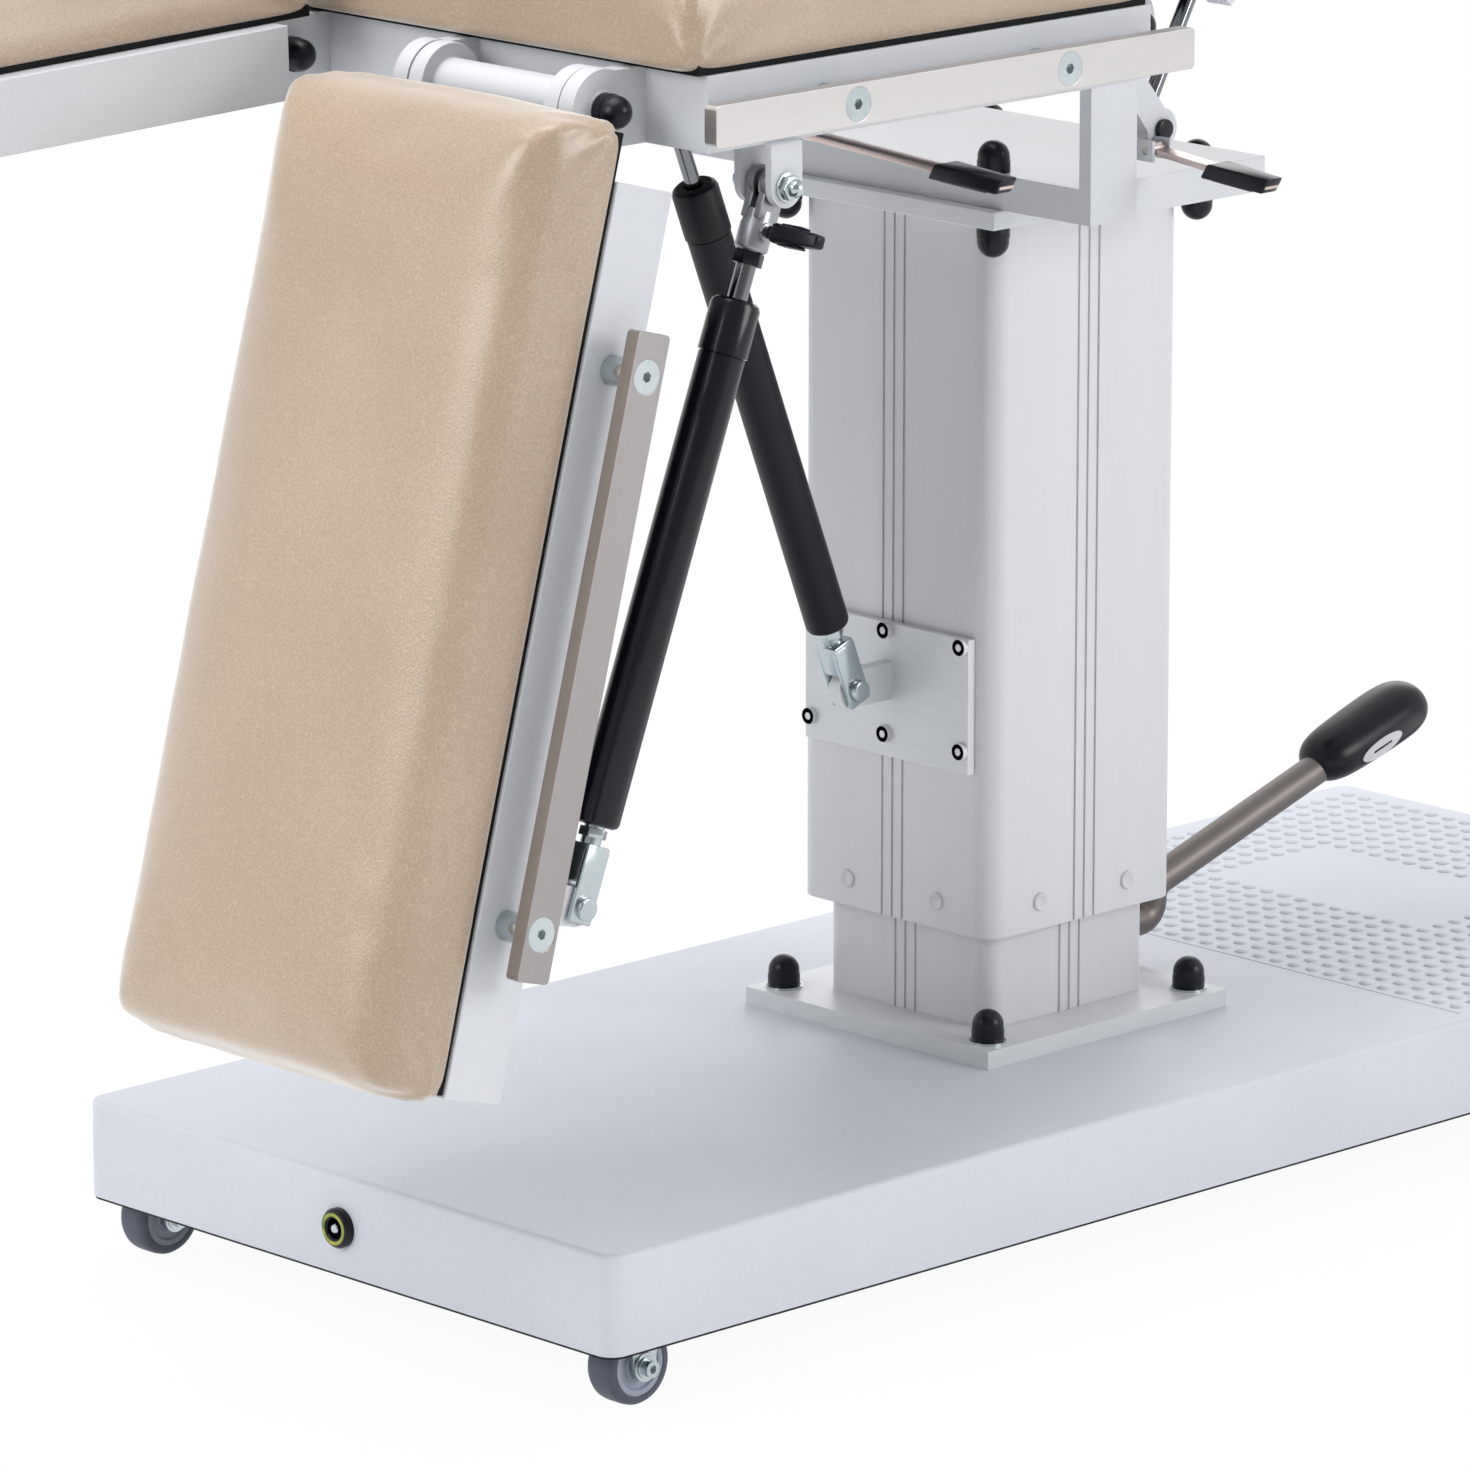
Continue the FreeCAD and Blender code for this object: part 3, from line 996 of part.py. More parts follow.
def tilt_spring_parts():
    """Gas spring between the column and the seat frame, with its release lever."""
    foot, head = TILT_SPRING_FOOT, TILT_SPRING_HEAD
    length = math.hypot(head[0] - foot[0], head[1] - foot[1])
    barrel = turned(barrel_outline(*TILT_BARREL, SPRING_RADIUS, TILT_ROD), V(0, 0, 0), V(0, 0, 1))
    fork_shape = spring_fork(TILT_BARREL[0])
    save("tilt_spring_barrel", upright(barrel, foot, head, 0), upright(fork_shape, foot, head, 0))
    bore = SPRING_RADIUS - SPRING_WALL
    stem = turned(rod_outline(TILT_PISTON, length - EYE_RADIUS, TILT_ROD, bore), V(0, 0, 0), V(0, 0, 1))
    eye = round_plate(0, length, EYE_RADIUS, -EYE_THICK / 2, EYE_THICK / 2)
    neck = rod(V(0, 0, length - TILT_NECK_LENGTH), V(0, 0, length - EYE_RADIUS + 2), TILT_NECK)
    save("tilt_spring_rod", upright(stem.fuse(neck).fuse(eye).removeSplitter(), foot, head, 0))
    flat, handle = lever(TILT_SPRING_HEAD[0], SEAT_LEVER_ROOT, SEAT_LEVER_GRIP, SEAT_LEVER_END)
    save("tilt_release_lever", flat, handle)


def back_parts():
    """Back section, drawn flat and then raised about its pivot."""
    def at(along):
        return BACK_PIVOT_X + along

    def place(shape):
        return swung(shape, BACK_PIVOT_X, -BACK_ANGLE)

    low, high = PIVOT_Z + SECTION_LOW, PIVOT_Z + SECTION_HIGH
    x0, x1 = at(BACK_BAR_START), at(BACK_BAR_END)
    frame = None
    for side in (-1, 1):
        bar = hollow_bar(x0, x1, *sorted((side * BAR_Y, side * HALF_WIDTH)), low, high)
        frame = bar if frame is None else frame.fuse(bar)
    for start in (BACK_CROSS_START, BACK_SPRING_ALONG - BAR_WIDTH / 2, BACK_BAR_END - BAR_WIDTH):
        frame = frame.fuse(box(at(start), at(start + BAR_WIDTH), -BAR_Y, BAR_Y, low + CROSS_RISE, high))
    for side in (-1, 1):
        far = HINGE_OUTER - HINGE_LUG_THICK - SIDE_PLAY
        y0, y1 = sorted((side * (far - HINGE_LUG_THICK), side * far))
        reach = at(BACK_CROSS_START)
        frame = frame.fuse(hinge_lug(BACK_PIVOT_X, y0, y1, reach, low + CROSS_RISE, PIVOT_Z + HINGE_LUG))
        hy0, hy1 = sorted((side * HEAD_BAR_Y, side * (HEAD_BAR_Y + HEAD_LUG_THICK)))
        lug = box(x1, at(HEAD_PIVOT), hy0, hy1, PIVOT_Z - HEAD_LUG, PIVOT_Z + HEAD_LUG)
        lug = lug.fuse(round_plate(at(HEAD_PIVOT), PIVOT_Z, HEAD_LUG, hy0, hy1))
        frame = frame.fuse(lug.cut(round_plate(at(HEAD_PIVOT), PIVOT_Z, HEAD_PIN + RUN, hy0 - 1, hy1 + 1)))
    sx, sz = at(BACK_SPRING_ALONG), PIVOT_Z - BACK_SPRING_BELOW
    y0, y1 = -BACK_SPRING_Y - LUG_THICK / 2, -BACK_SPRING_Y + LUG_THICK / 2
    lug = box(sx - LUG_RADIUS, sx + LUG_RADIUS, y0, y1, sz, low + CROSS_RISE)
    lug = lug.fuse(round_plate(sx, sz, LUG_RADIUS, y0, y1))
    frame = frame.fuse(lug.cut(round_plate(sx, sz, SPRING_PIN + RUN, y0 - 1, y1 + 1))).removeSplitter()
    save("back_frame", place(frame))
    half = HALF_WIDTH - BOARD_SIDE
    board = box(x0 - BOARD_SIDE, x1 + BOARD_SIDE, -half, half, high, high + BOARD_THICK)
    save("back_board", place(board))
    pad_low, pad_high = high + BOARD_THICK + SLIDE, high + BOARD_THICK + PAD_THICK
    foot = at(BACK_PAD_FOOT)
    end = x1 + BACK_PAD_OVERHANG
    shoulder = foot + BACK_PAD_BEVEL
    pad = plate_xz([(foot, pad_low), (end, pad_low), (end, pad_high), (shoulder + BACK_PAD_LEAN, pad_high),
                    (shoulder, pad_low + BACK_PAD_SHOULDER)], -HALF_WIDTH, HALF_WIDTH)
    save("back_cushion", place(pad))
    rails = []
    z = PIVOT_Z + LEG_RAIL_RISE
    for side in (-1, 1):
        places = [at(a) for a in BACK_RAIL_SCREWS]
        bar, fixings = with_fixings(rail(at(BACK_RAIL[0]), at(BACK_RAIL[1]), z, side), places, z, side)
        rails += [place(bar)] + [place(f) for f in fixings]
    save("back_rails", *rails)

    turn = math.radians(BACK_ANGLE)
    along, below = BACK_SPRING_ALONG, BACK_SPRING_BELOW
    top = (BACK_PIVOT_X + along * math.cos(turn) + below * math.sin(turn),
           PIVOT_Z + along * math.sin(turn) - below * math.cos(turn))
    foot = BACK_SPRING_FOOT
    length = math.hypot(top[0] - foot[0], top[1] - foot[1])
    start = BACK_BARREL_START
    outline = barrel_outline(start, start + BACK_BARREL_LENGTH, BACK_BARREL_RADIUS, BACK_ROD)
    barrel = turned(outline, V(0, 0, 0), V(0, 0, 1))
    y = -BACK_SPRING_Y
    fork_shape = spring_fork(start)
    save("back_spring_barrel", upright(barrel, top, foot, y), upright(fork_shape, top, foot, y))
    bore = BACK_BARREL_RADIUS - SPRING_WALL
    stem = turned(rod_outline(BACK_PISTON, length - BACK_EYE, BACK_ROD, bore), V(0, 0, 0), V(0, 0, 1))
    eye = round_plate(0, length, BACK_EYE, -BACK_EYE_THICK / 2, BACK_EYE_THICK / 2)
    save("back_spring_rod", upright(stem.fuse(eye).removeSplitter(), top, foot, y))
    flat, handle = lever(BACK_LEVER_X, BACK_LEVER_ROOT, BACK_LEVER_GRIP, BACK_LEVER_END)
    save("back_release_lever", flat, handle)

    hx0 = at(HEAD_PIVOT)
    hx1 = hx0 + HEAD_LENGTH
    frame = None
    for side in (-1, 1):
        near = HEAD_BAR_Y - SIDE_PLAY
        y0, y1 = sorted((side * (near - BAR_WIDTH), side * near))
        bar = box(hx0, hx1 - BAR_WIDTH, y0, y1, PIVOT_Z - HEAD_LUG, PIVOT_Z + HEAD_LUG)
        bar = bar.fuse(round_plate(hx0, PIVOT_Z, HEAD_LUG, y0, y1))
        pin = round_plate(hx0, PIVOT_Z, HEAD_PIN, side * near, side * (near + HEAD_LUG_THICK + 5 * SIDE_PLAY))
        bar = bar.fuse(pin)
        frame = bar if frame is None else frame.fuse(bar)
    inner = HEAD_BAR_Y - SIDE_PLAY - BAR_WIDTH
    start = hx0 + HEAD_CROSS_START
    cross = box(start, start + BAR_WIDTH, -inner, inner, PIVOT_Z - HEAD_LUG, PIVOT_Z + HEAD_LUG)
    half = HEAD_HALF_WIDTH - 2 * BOARD_SIDE
    board = box(hx0 + HEAD_PAD_START + BOARD_INSET, hx1 - BOARD_SIDE, -half, half,
                PIVOT_Z + HEAD_LUG, high + BOARD_THICK)
    save("head_frame", place(frame.fuse(cross).fuse(board).removeSplitter()))
    pad = box(hx0 + HEAD_PAD_START, hx1, -HEAD_HALF_WIDTH, HEAD_HALF_WIDTH, pad_low, pad_high)
    pad = pad.makeFillet(PAD_ROUND, upright_edges(pad) + edges_at(pad, pad_high))
    save("head_cushion", place(pad))


def bend(before, corner, after, radius):
    """Start, middle and end of the arc that rounds one corner of a path."""
    into = corner.sub(before).normalize()
    out = after.sub(corner).normalize()
    half_turn = math.acos(into.dot(out)) / 2
    trim = radius * math.tan(half_turn)
    arc_in = corner.sub(V(into).multiply(trim))
    arc_out = corner.add(V(out).multiply(trim))
    bisector = V(out).sub(into).normalize()
    middle = corner.add(V(bisector).multiply(radius / math.cos(half_turn) - radius))
    return arc_in, middle, arc_out


def pedal_parts():
    """Bent pedal tube from its pivot at the foot of the column, and its moulded grip."""
    foot, corner, knee, grip, end = [V(x, 0, z) for x, z in (
        PEDAL_PIVOT, PEDAL_CORNER, PEDAL_KNEE, PEDAL_GRIP_START, PEDAL_GRIP_END)]
    out = end.sub(knee).normalize()
    stop = end.sub(V(out).multiply(PEDAL_TUBE_IN_GRIP))
    low = bend(foot, corner, knee, PEDAL_BEND)
    high = bend(corner, knee, stop, PEDAL_BEND)
    path = Part.Wire([Part.LineSegment(foot, low[0]).toShape(), Part.Arc(*low).toShape(),
                      Part.LineSegment(low[2], high[0]).toShape(), Part.Arc(*high).toShape(),
                      Part.LineSegment(high[2], stop).toShape()])
    ring = Part.Wire(Part.makeCircle(PEDAL_TUBE, foot, V(1, 0, 0)))
    tube = path.makePipeShell([ring], True, False)
    half = PEDAL_TUBE + PEDAL_BOSS_WALL
    ear_y = half + SLIDE + PEDAL_EAR_THICK
    tube = tube.fuse(round_plate(*PEDAL_PIVOT, PEDAL_BOSS, -half, half))
    tube = tube.fuse(round_plate(*PEDAL_PIVOT, SPRING_PIN, -ear_y, ear_y)).removeSplitter()
    save("pedal_tube", tube)
    length = end.sub(grip).Length
    lean = -math.degrees(math.atan2(end.z - grip.z, end.x - grip.x))
    rise = PEDAL_GRIP_HEIGHT / 2
    handle = box(0, length, -PEDAL_GRIP_WIDTH / 2, PEDAL_GRIP_WIDTH / 2, -rise, rise)
    handle = handle.makeFillet(PEDAL_GRIP_CORNER, upright_edges(handle))
    handle = handle.makeFillet(PEDAL_GRIP_EDGE, edges_at(handle, rise) + edges_at(handle, -rise))
    handle.rotate(V(0, 0, 0), V(0, 1, 0), lean)
    handle.translate(grip)
    save("pedal_grip", handle.cut(tube))


base_parts()
castor_parts()
column_parts()
yoke_parts()
seat_parts()
for leg_name, leg_side, leg_angle in (("left", -1, LEG_ANGLE_LEFT), ("right", 1, LEG_ANGLE_RIGHT)):
    leg_parts(leg_name, leg_side, leg_angle)
    leg_spring_parts(leg_name, leg_side, leg_angle)
tilt_spring_parts()
back_parts()
pedal_parts()
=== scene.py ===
"""Operating table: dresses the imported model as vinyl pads, painted bars and anodised profiles.

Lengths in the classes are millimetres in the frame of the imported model: the origin is on the
floor under the column axis, +X runs towards the head end and +Z is up.
"""

from __future__ import annotations

import json
import logging
import math
from dataclasses import dataclass, replace
from enum import Enum

import bmesh
import bpy
from mathutils import Euler, Matrix, Vector, noise

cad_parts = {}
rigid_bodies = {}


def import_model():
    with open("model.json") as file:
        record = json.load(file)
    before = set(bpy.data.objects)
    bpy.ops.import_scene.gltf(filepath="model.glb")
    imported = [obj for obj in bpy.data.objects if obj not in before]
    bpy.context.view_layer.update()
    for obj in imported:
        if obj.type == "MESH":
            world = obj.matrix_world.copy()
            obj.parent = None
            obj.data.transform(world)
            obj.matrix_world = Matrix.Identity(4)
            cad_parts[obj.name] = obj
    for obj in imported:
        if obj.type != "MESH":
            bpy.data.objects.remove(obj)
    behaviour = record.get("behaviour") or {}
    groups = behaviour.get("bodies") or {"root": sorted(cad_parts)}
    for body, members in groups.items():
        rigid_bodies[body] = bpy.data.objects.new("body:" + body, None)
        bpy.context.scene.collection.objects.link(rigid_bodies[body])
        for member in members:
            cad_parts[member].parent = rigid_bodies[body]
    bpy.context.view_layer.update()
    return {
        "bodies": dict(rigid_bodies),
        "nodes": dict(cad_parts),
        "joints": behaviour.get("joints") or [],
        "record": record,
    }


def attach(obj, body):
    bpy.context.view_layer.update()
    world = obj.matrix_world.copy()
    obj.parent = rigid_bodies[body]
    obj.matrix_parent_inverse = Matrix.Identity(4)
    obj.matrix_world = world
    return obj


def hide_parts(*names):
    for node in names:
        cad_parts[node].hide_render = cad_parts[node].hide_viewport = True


LOG = logging.getLogger("operating_table")
MM = 0.001

Point2 = tuple[float, float]
Point3 = tuple[float, float, float]
Mesh = bmesh.types.BMesh

PIVOT_Z = 782.0
LEG_PIVOT_X = -538.0
BACK_PIVOT_X = -101.5
LEG_DROP = {"left": 75.0, "right": 1.7}
BACK_RAISE = 45.0
HALF_WIDTH = 266.0
RAIL_FACE = 296.0
SIDES = {"left": -1, "right": 1}


class Grain(Enum):
    """How a surface was made, which decides its pattern."""

    LEATHER = "pressed vinyl"
    SPRAYED = "sprayed or moulded"
    BRUSHED = "drawn or brushed along one line"


@dataclass(frozen=True)
class Finish:
    """One finish, as a procedural material on Object coordinates.

    The grain, patch and relief sizes are real sizes in millimetres.
    """

    name: str
    colour: str
    shade: str
    grain: Grain = Grain.SPRAYED
    grain_mm: float = 1.2
    patch_mm: float = 90.0
    relief_mm: float = 0.01
    metallic: float = 0.0
    roughness: float = 0.45
    spread: float = 0.06
    sheen: float = 0.0
    specular: float = 0.5
    speck: float = 0.12
    run: Point3 = (1.0, 1.0, 1.0)
    turn: float = 0.0

    def turned(self, degrees: float, suffix: str, **changes: object) -> Finish:
        """The same finish for a piece that stands at a slant."""
        return replace(self, name=self.name + suffix, turn=degrees, **changes)

    def material(self) -> bpy.types.Material:
        """Build the material once and hand it out again after that.

        Returns:
            The material with this finish's name.
        """
        known = bpy.data.materials.get(self.name)
        if known:
            return known
        made = bpy.data.materials.new(self.name)
        made.use_nodes = True
        tree = made.node_tree
        shader = tree.nodes["Principled BSDF"]
        shader.inputs["Metallic"].default_value = self.metallic
        shader.inputs["Specular IOR Level"].default_value = self.specular
        shader.inputs["Sheen Weight"].default_value = self.sheen
        shader.inputs["Sheen Roughness"].default_value = 0.4
        place = add_node(tree, "ShaderNodeTexCoord").outputs["Object"]
        across = add_node(
            tree, "ShaderNodeMapping",
            {"Rotation": (0.0, math.radians(self.turn), 0.0), "Scale": (1.0, 1.0, 1.0)},
            {"Vector": place},
        ).outputs[0]
        along = add_node(tree, "ShaderNodeMapping", {"Scale": self.run}, {"Vector": across}).outputs[0]
        patch = add_node(
            tree, "ShaderNodeTexNoise", {"Scale": 1000.0 / self.patch_mm, "Detail": 3.0}, {"Vector": along}
        )
        fine = self.fine_pattern(tree, along)
        blend = add_node(
            tree, "ShaderNodeMapRange",
            {"From Min": 0.3, "From Max": 0.7, "To Min": 0.0, "To Max": 1.0},
            {"Value": patch.outputs["Fac"]},
        )
        wash = add_node(
            tree, "ShaderNodeMix", {"data_type": "RGBA", 6: linear(self.colour), 7: linear(self.shade)},
            {0: blend.outputs[0]},
        )
        speck = add_node(
            tree, "ShaderNodeMix",
            {"data_type": "RGBA", "blend_type": "MULTIPLY", 0: self.speck, 7: (1.0, 1.0, 1.0, 1.0)},
            {6: wash.outputs[2], 7: fine},
        )
        tree.links.new(speck.outputs[2], shader.inputs["Base Color"])
        rough = add_node(
            tree, "ShaderNodeMapRange",
            {"To Min": max(self.roughness - self.spread, 0.02), "To Max": self.roughness + self.spread},
            {"Value": fine},
        )
        tree.links.new(rough.outputs[0], shader.inputs["Roughness"])
        bump = add_node(
            tree, "ShaderNodeBump", {"Strength": 1.0, "Distance": self.relief_mm * MM}, {"Height": fine}
        )
        tree.links.new(bump.outputs[0], shader.inputs["Normal"])
        return made

    def fine_pattern(self, tree: bpy.types.NodeTree, along: bpy.types.NodeSocket) -> bpy.types.NodeSocket:
        """The fine grain: pebbled cells on vinyl, a soft speckle on the other finishes.

        Args:
            tree: The material's node tree.
            along: The coordinates, already turned and stretched.

        Returns:
            A socket with values from 0 to 1.
        """
        scale = 1000.0 / self.grain_mm
        if self.grain is Grain.LEATHER:
            cells = add_node(
                tree, "ShaderNodeTexVoronoi", {"feature": "SMOOTH_F1", "Scale": scale, "Smoothness": 0.6},
                {"Vector": along},
            )
            return cells.outputs["Distance"]
        detail = 1.0 if self.grain is Grain.BRUSHED else 2.0
        speck = add_node(tree, "ShaderNodeTexNoise", {"Scale": scale, "Detail": detail}, {"Vector": along})
        return speck.outputs["Fac"]


# Vinyl-coated fabric, pressed with a fine pebble grain: soft broad highlights, no sharp gloss.
VINYL = Finish(
    "vinyl_beige", "#B7A38E", "#AD9984", Grain.LEATHER, 1.3, 120.0, 0.09, roughness=0.33, spread=0.08,
    sheen=0.8, specular=0.75, speck=0.3,
)
# Powder-coated steel tube: smooth pale grey with a faint orange peel.
POWDER = Finish("powder_coat_grey", "#D1D4D9", "#CCCFD4", grain_mm=1.5, relief_mm=0.01, roughness=0.38)
# Thermoformed ABS: even, cool white with a soft shine.
SHELL = Finish(
    "abs_cover", "#D2D6DF", "#CED2DB", grain_mm=2.0, relief_mm=0.008, roughness=0.5, spread=0.04,
    specular=0.35,
)
# Extruded and satin anodised aluminium: fine lines along the press direction.
PROFILE = Finish(
    "anodised_profile", "#D3D4D7", "#CECFD2", Grain.BRUSHED, 1.2, 60.0, 0.003, 0.12, 0.44, 0.03,
    run=(1.0, 1.0, 0.02), speck=0.06,
)
# Milled and anodised aluminium plate.
PLATE = Finish(
    "anodised_plate", "#DDE0E3", "#D6D9DC", Grain.BRUSHED, 1.0, 50.0, 0.004, 0.12, 0.4, 0.04,
    run=(1.0, 0.04, 1.0),
)
# Grey plugs in the foot of the outer profile.
PLUG = Finish("plug_grey", "#D3D4D8", "#CDCED2", grain_mm=2.0, roughness=0.3)
# Brushed stainless steel flat bar: fine pale streaks along the bar.
STAINLESS = Finish(
    "brushed_stainless", "#D5D2D2", "#CAC7C7", Grain.BRUSHED, 0.9, 60.0, 0.003, 1.0, 0.36, 0.04,
    run=(0.03, 1.0, 1.0), speck=0.08,
)
# The leg rails are the same bar coloured darker: painted shade for the darker reflection they show.
SHADED_STAINLESS = replace(STAINLESS, name="shaded_stainless", colour="#AFAAAA", shade="#A5A0A0")
# The release levers are flat bar coloured pinkish white: painted reflection on the steel.
LEVER_STEEL = replace(STAINLESS, name="lever_steel", colour="#E3D3CF", shade="#D5C2BE", run=(1.0, 0.03, 1.0))
# Drawn tube of the pedal: brown-grey streaks along the tube.
TUBE_STEEL = Finish(
    "drawn_tube", "#8A8380", "#726B69", Grain.BRUSHED, 5.0, 24.0, 0.004, 0.7, 0.42, 0.06,
    run=(0.06, 1.0, 1.0), speck=0.3,
)
# Bright zinc plate on pressed and turned steel: cool silver.
ZINC = Finish("zinc_plate", "#D4DCDE", "#B9C4C8", grain_mm=3.0, relief_mm=0.004, metallic=1.0, roughness=0.24)
# Die-cast head of the leg springs.
CAST = Finish("cast_silver", "#B4B6B9", "#A3A5A9", grain_mm=2.0, relief_mm=0.01, metallic=0.9, roughness=0.36)
# Hard-chromed piston rod.
CHROME = Finish(
    "piston_rod", "#8E9093", "#7A7C80", grain_mm=3.0, relief_mm=0.0, metallic=1.0, roughness=0.1, spread=0.02
)
# Stove-enamelled barrel: deep black with a clear shine.
ENAMEL = Finish(
    "black_enamel", "#15141D", "#121119", grain_mm=6.0, relief_mm=0.0, roughness=0.2, spread=0.02,
    specular=0.35,
)
# Satin black lacquer on the inner spring.
LACQUER = Finish(
    "black_lacquer", "#12131C", "#0F1018", grain_mm=3.0, relief_mm=0.0, roughness=0.46, spread=0.03,
    specular=0.3,
)
# Moulded black polyamide for caps and grips: smooth, with a soft shine.
MOULDED = Finish(
    "moulded_black", "#13131D", "#0F0F19", grain_mm=1.5, relief_mm=0.004, roughness=0.32, spread=0.04,
    specular=0.3,
)
# Black edge of the upholstery board.
BOARD = Finish(
    "board_black", "#0E0E0F", "#0A0A0B", grain_mm=2.0, relief_mm=0.01, roughness=0.6, specular=0.15
)
# Thermoplastic rubber tread and nylon wheel centre.
TYRE = Finish("grey_tread", "#4F5566", "#474D5D", grain_mm=2.0, relief_mm=0.01, roughness=0.5)
HUB = Finish("grey_hub", "#A3A9B8", "#9AA0AF", grain_mm=2.0, relief_mm=0.01, roughness=0.42)
# Two colours of the earth ring round the socket.
EARTH_RING = Finish("earth_ring", "#B9B23A", "#4E7A3A", grain_mm=2.0, patch_mm=8.0, roughness=0.4)
# Natural nylon guide pads, and primed steel inside the base.
NYLON = Finish("nylon_guide", "#DAD8D0", "#D2D0C8", roughness=0.5)
PRIMER = Finish("primer_grey", "#5F6368", "#55595E", roughness=0.6)


def linear(code: str) -> tuple[float, float, float, float]:
    """Turn an sRGB hex colour to linear light.

    Args:
        code: The colour as "#RRGGBB".

    Returns:
        Red, green, blue and an alpha of one.
    """
    parts = [int(code[i : i + 2], 16) / 255.0 for i in (1, 3, 5)]
    red, green, blue = (c / 12.92 if c <= 0.04045 else ((c + 0.055) / 1.055) ** 2.4 for c in parts)
    return red, green, blue, 1.0


def add_node(
    tree: bpy.types.NodeTree,
    kind: str,
    settings: dict | None = None,
    links: dict | None = None,
) -> bpy.types.Node:
    """Add a node with its settings and links.

    Args:
        tree: The node tree it goes in.
        kind: Blender's name of the node type.
        settings: Property names, input names or input numbers, with their values.
        links: Input names or numbers, with the sockets that feed them.

    Returns:
        The new node.
    """
    made = tree.nodes.new(kind)
    for key, value in (settings or {}).items():
        if isinstance(key, str) and hasattr(made, key):
            setattr(made, key, value)
        else:
            made.inputs[key].default_value = value
    for key, source in (links or {}).items():
        tree.links.new(source, made.inputs[key])
    return made


def soften(bm: Mesh, width: float, segments: int = 2, angle: float = 28.0) -> Mesh:
    """Round the sharp edges of a mesh.

    Args:
        bm: The mesh.
        width: Width of the rounding in millimetres.
        segments: Faces across the rounding.
        angle: Edges sharper than this many degrees are rounded.

    Returns:
        The same mesh.
    """
    limit = math.radians(angle)
    sharp = [e for e in bm.edges if e.is_manifold and e.calc_face_angle(0.0) > limit]
    bmesh.ops.bevel(
        bm, geom=sharp, offset=width * MM, offset_type="OFFSET", segments=segments, profile=0.5,
        affect="EDGES", clamp_overlap=True, material=-1,
    )
    return bm


def lathe(outline: list[Point2], steps: int = 40, width: float = 0.0) -> Mesh:
    """Turn an outline about Z.

    Args:
        outline: (radius, height) points in millimetres; a zero radius closes an end.
        steps: Faces round the axis.
        width: Rounding of the sharp rings, in millimetres.

    Returns:
        A closed mesh.
    """
    bm = bmesh.new()
    verts = [bm.verts.new((r * MM, 0.0, h * MM)) for r, h in outline]
    edges = [bm.edges.new(pair) for pair in zip(verts, verts[1:])]
    bmesh.ops.spin(
        bm, geom=verts + edges, cent=(0, 0, 0), axis=(0, 0, 1), dvec=(0, 0, 0), angle=math.tau,
        steps=steps, use_merge=True, use_duplicate=False,
    )
    bmesh.ops.remove_doubles(bm, verts=bm.verts, dist=1e-6)
    bmesh.ops.recalc_face_normals(bm, faces=bm.faces)
    return soften(bm, width) if width else bm


def round_bar(radius: float, low: float, high: float, steps: int = 32, width: float = 0.0) -> Mesh:
    """Plain turned piece along Z, such as a pin or a washer.

    Args:
        radius: Radius in millimetres.
        low: Height of its foot.
        high: Height of its top.
        steps: Faces round the axis.
        width: Rounding of the two rims, in millimetres.

    Returns:
        A closed mesh.
    """
    return lathe([(0, low), (radius, low), (radius, high), (0, high)], steps, width)


def block(low: Point3, high: Point3, width: float = 0.8, segments: int = 2) -> Mesh:
    """Rounded block.

    Args:
        low: Its lowest corner, in millimetres.
        high: Its highest corner.
        width: Width of the rounding; zero leaves the edges sharp.
        segments: Faces across the rounding.

    Returns:
        A closed mesh.
    """
    bm = bmesh.new()
    bmesh.ops.create_cube(bm, size=1.0)
    size = [(b - a) * MM for a, b in zip(low, high)]
    middle = [(a + b) / 2 * MM for a, b in zip(low, high)]
    bmesh.ops.scale(bm, vec=size, verts=bm.verts)
    bmesh.ops.translate(bm, vec=middle, verts=bm.verts)
    return soften(bm, width, segments) if width else bm


def prism(sides: int, radius: float, low: float, high: float, width: float = 0.4) -> Mesh:
    """Regular prism along Z, such as a nut.

    Args:
        sides: Number of sides.
        radius: Radius to the corners, in millimetres.
        low: Height of its foot.
        high: Height of its top.
        width: Rounding of its edges.

    Returns:
        A closed mesh.
    """
    bm = bmesh.new()
    bmesh.ops.create_cone(
        bm, cap_ends=True, segments=sides, radius1=radius * MM, radius2=radius * MM, depth=(high - low) * MM
    )
    bmesh.ops.translate(bm, vec=(0, 0, (high + low) / 2 * MM), verts=bm.verts)
    return soften(bm, width)


def moved(bm: Mesh, *places: Matrix) -> Mesh:
    """Apply placements to a mesh.

    Args:
        bm: The mesh.
        places: The placements, the first one first.

    Returns:
        The same mesh.
    """
    for place in places:
        bmesh.ops.transform(bm, matrix=place, verts=bm.verts)
    return bm


def joined(*parts: Mesh) -> Mesh:
    """Put several meshes into one.

    Args:
        parts: The meshes; all but the first one are freed.

    Returns:
        The first mesh, which now holds them all.
    """
    first = parts[0]
    for other in parts[1:]:
        spare = bpy.data.meshes.new("spare")
        other.to_mesh(spare)
        other.free()
        first.from_mesh(spare)
        bpy.data.meshes.remove(spare)
    return first


def islands(bm: Mesh) -> list[list[bmesh.types.BMVert]]:
    """Find the separate pieces of a mesh.

    Args:
        bm: The mesh.

    Returns:
        The points of each piece.
    """
    left = set(bm.verts)
    found = []
    while left:
        batch = [left.pop()]
        for vert in batch:
            near = {edge.other_vert(vert) for edge in vert.link_edges} & left
            left -= near
            batch.extend(near)
        found.append(batch)
    return found


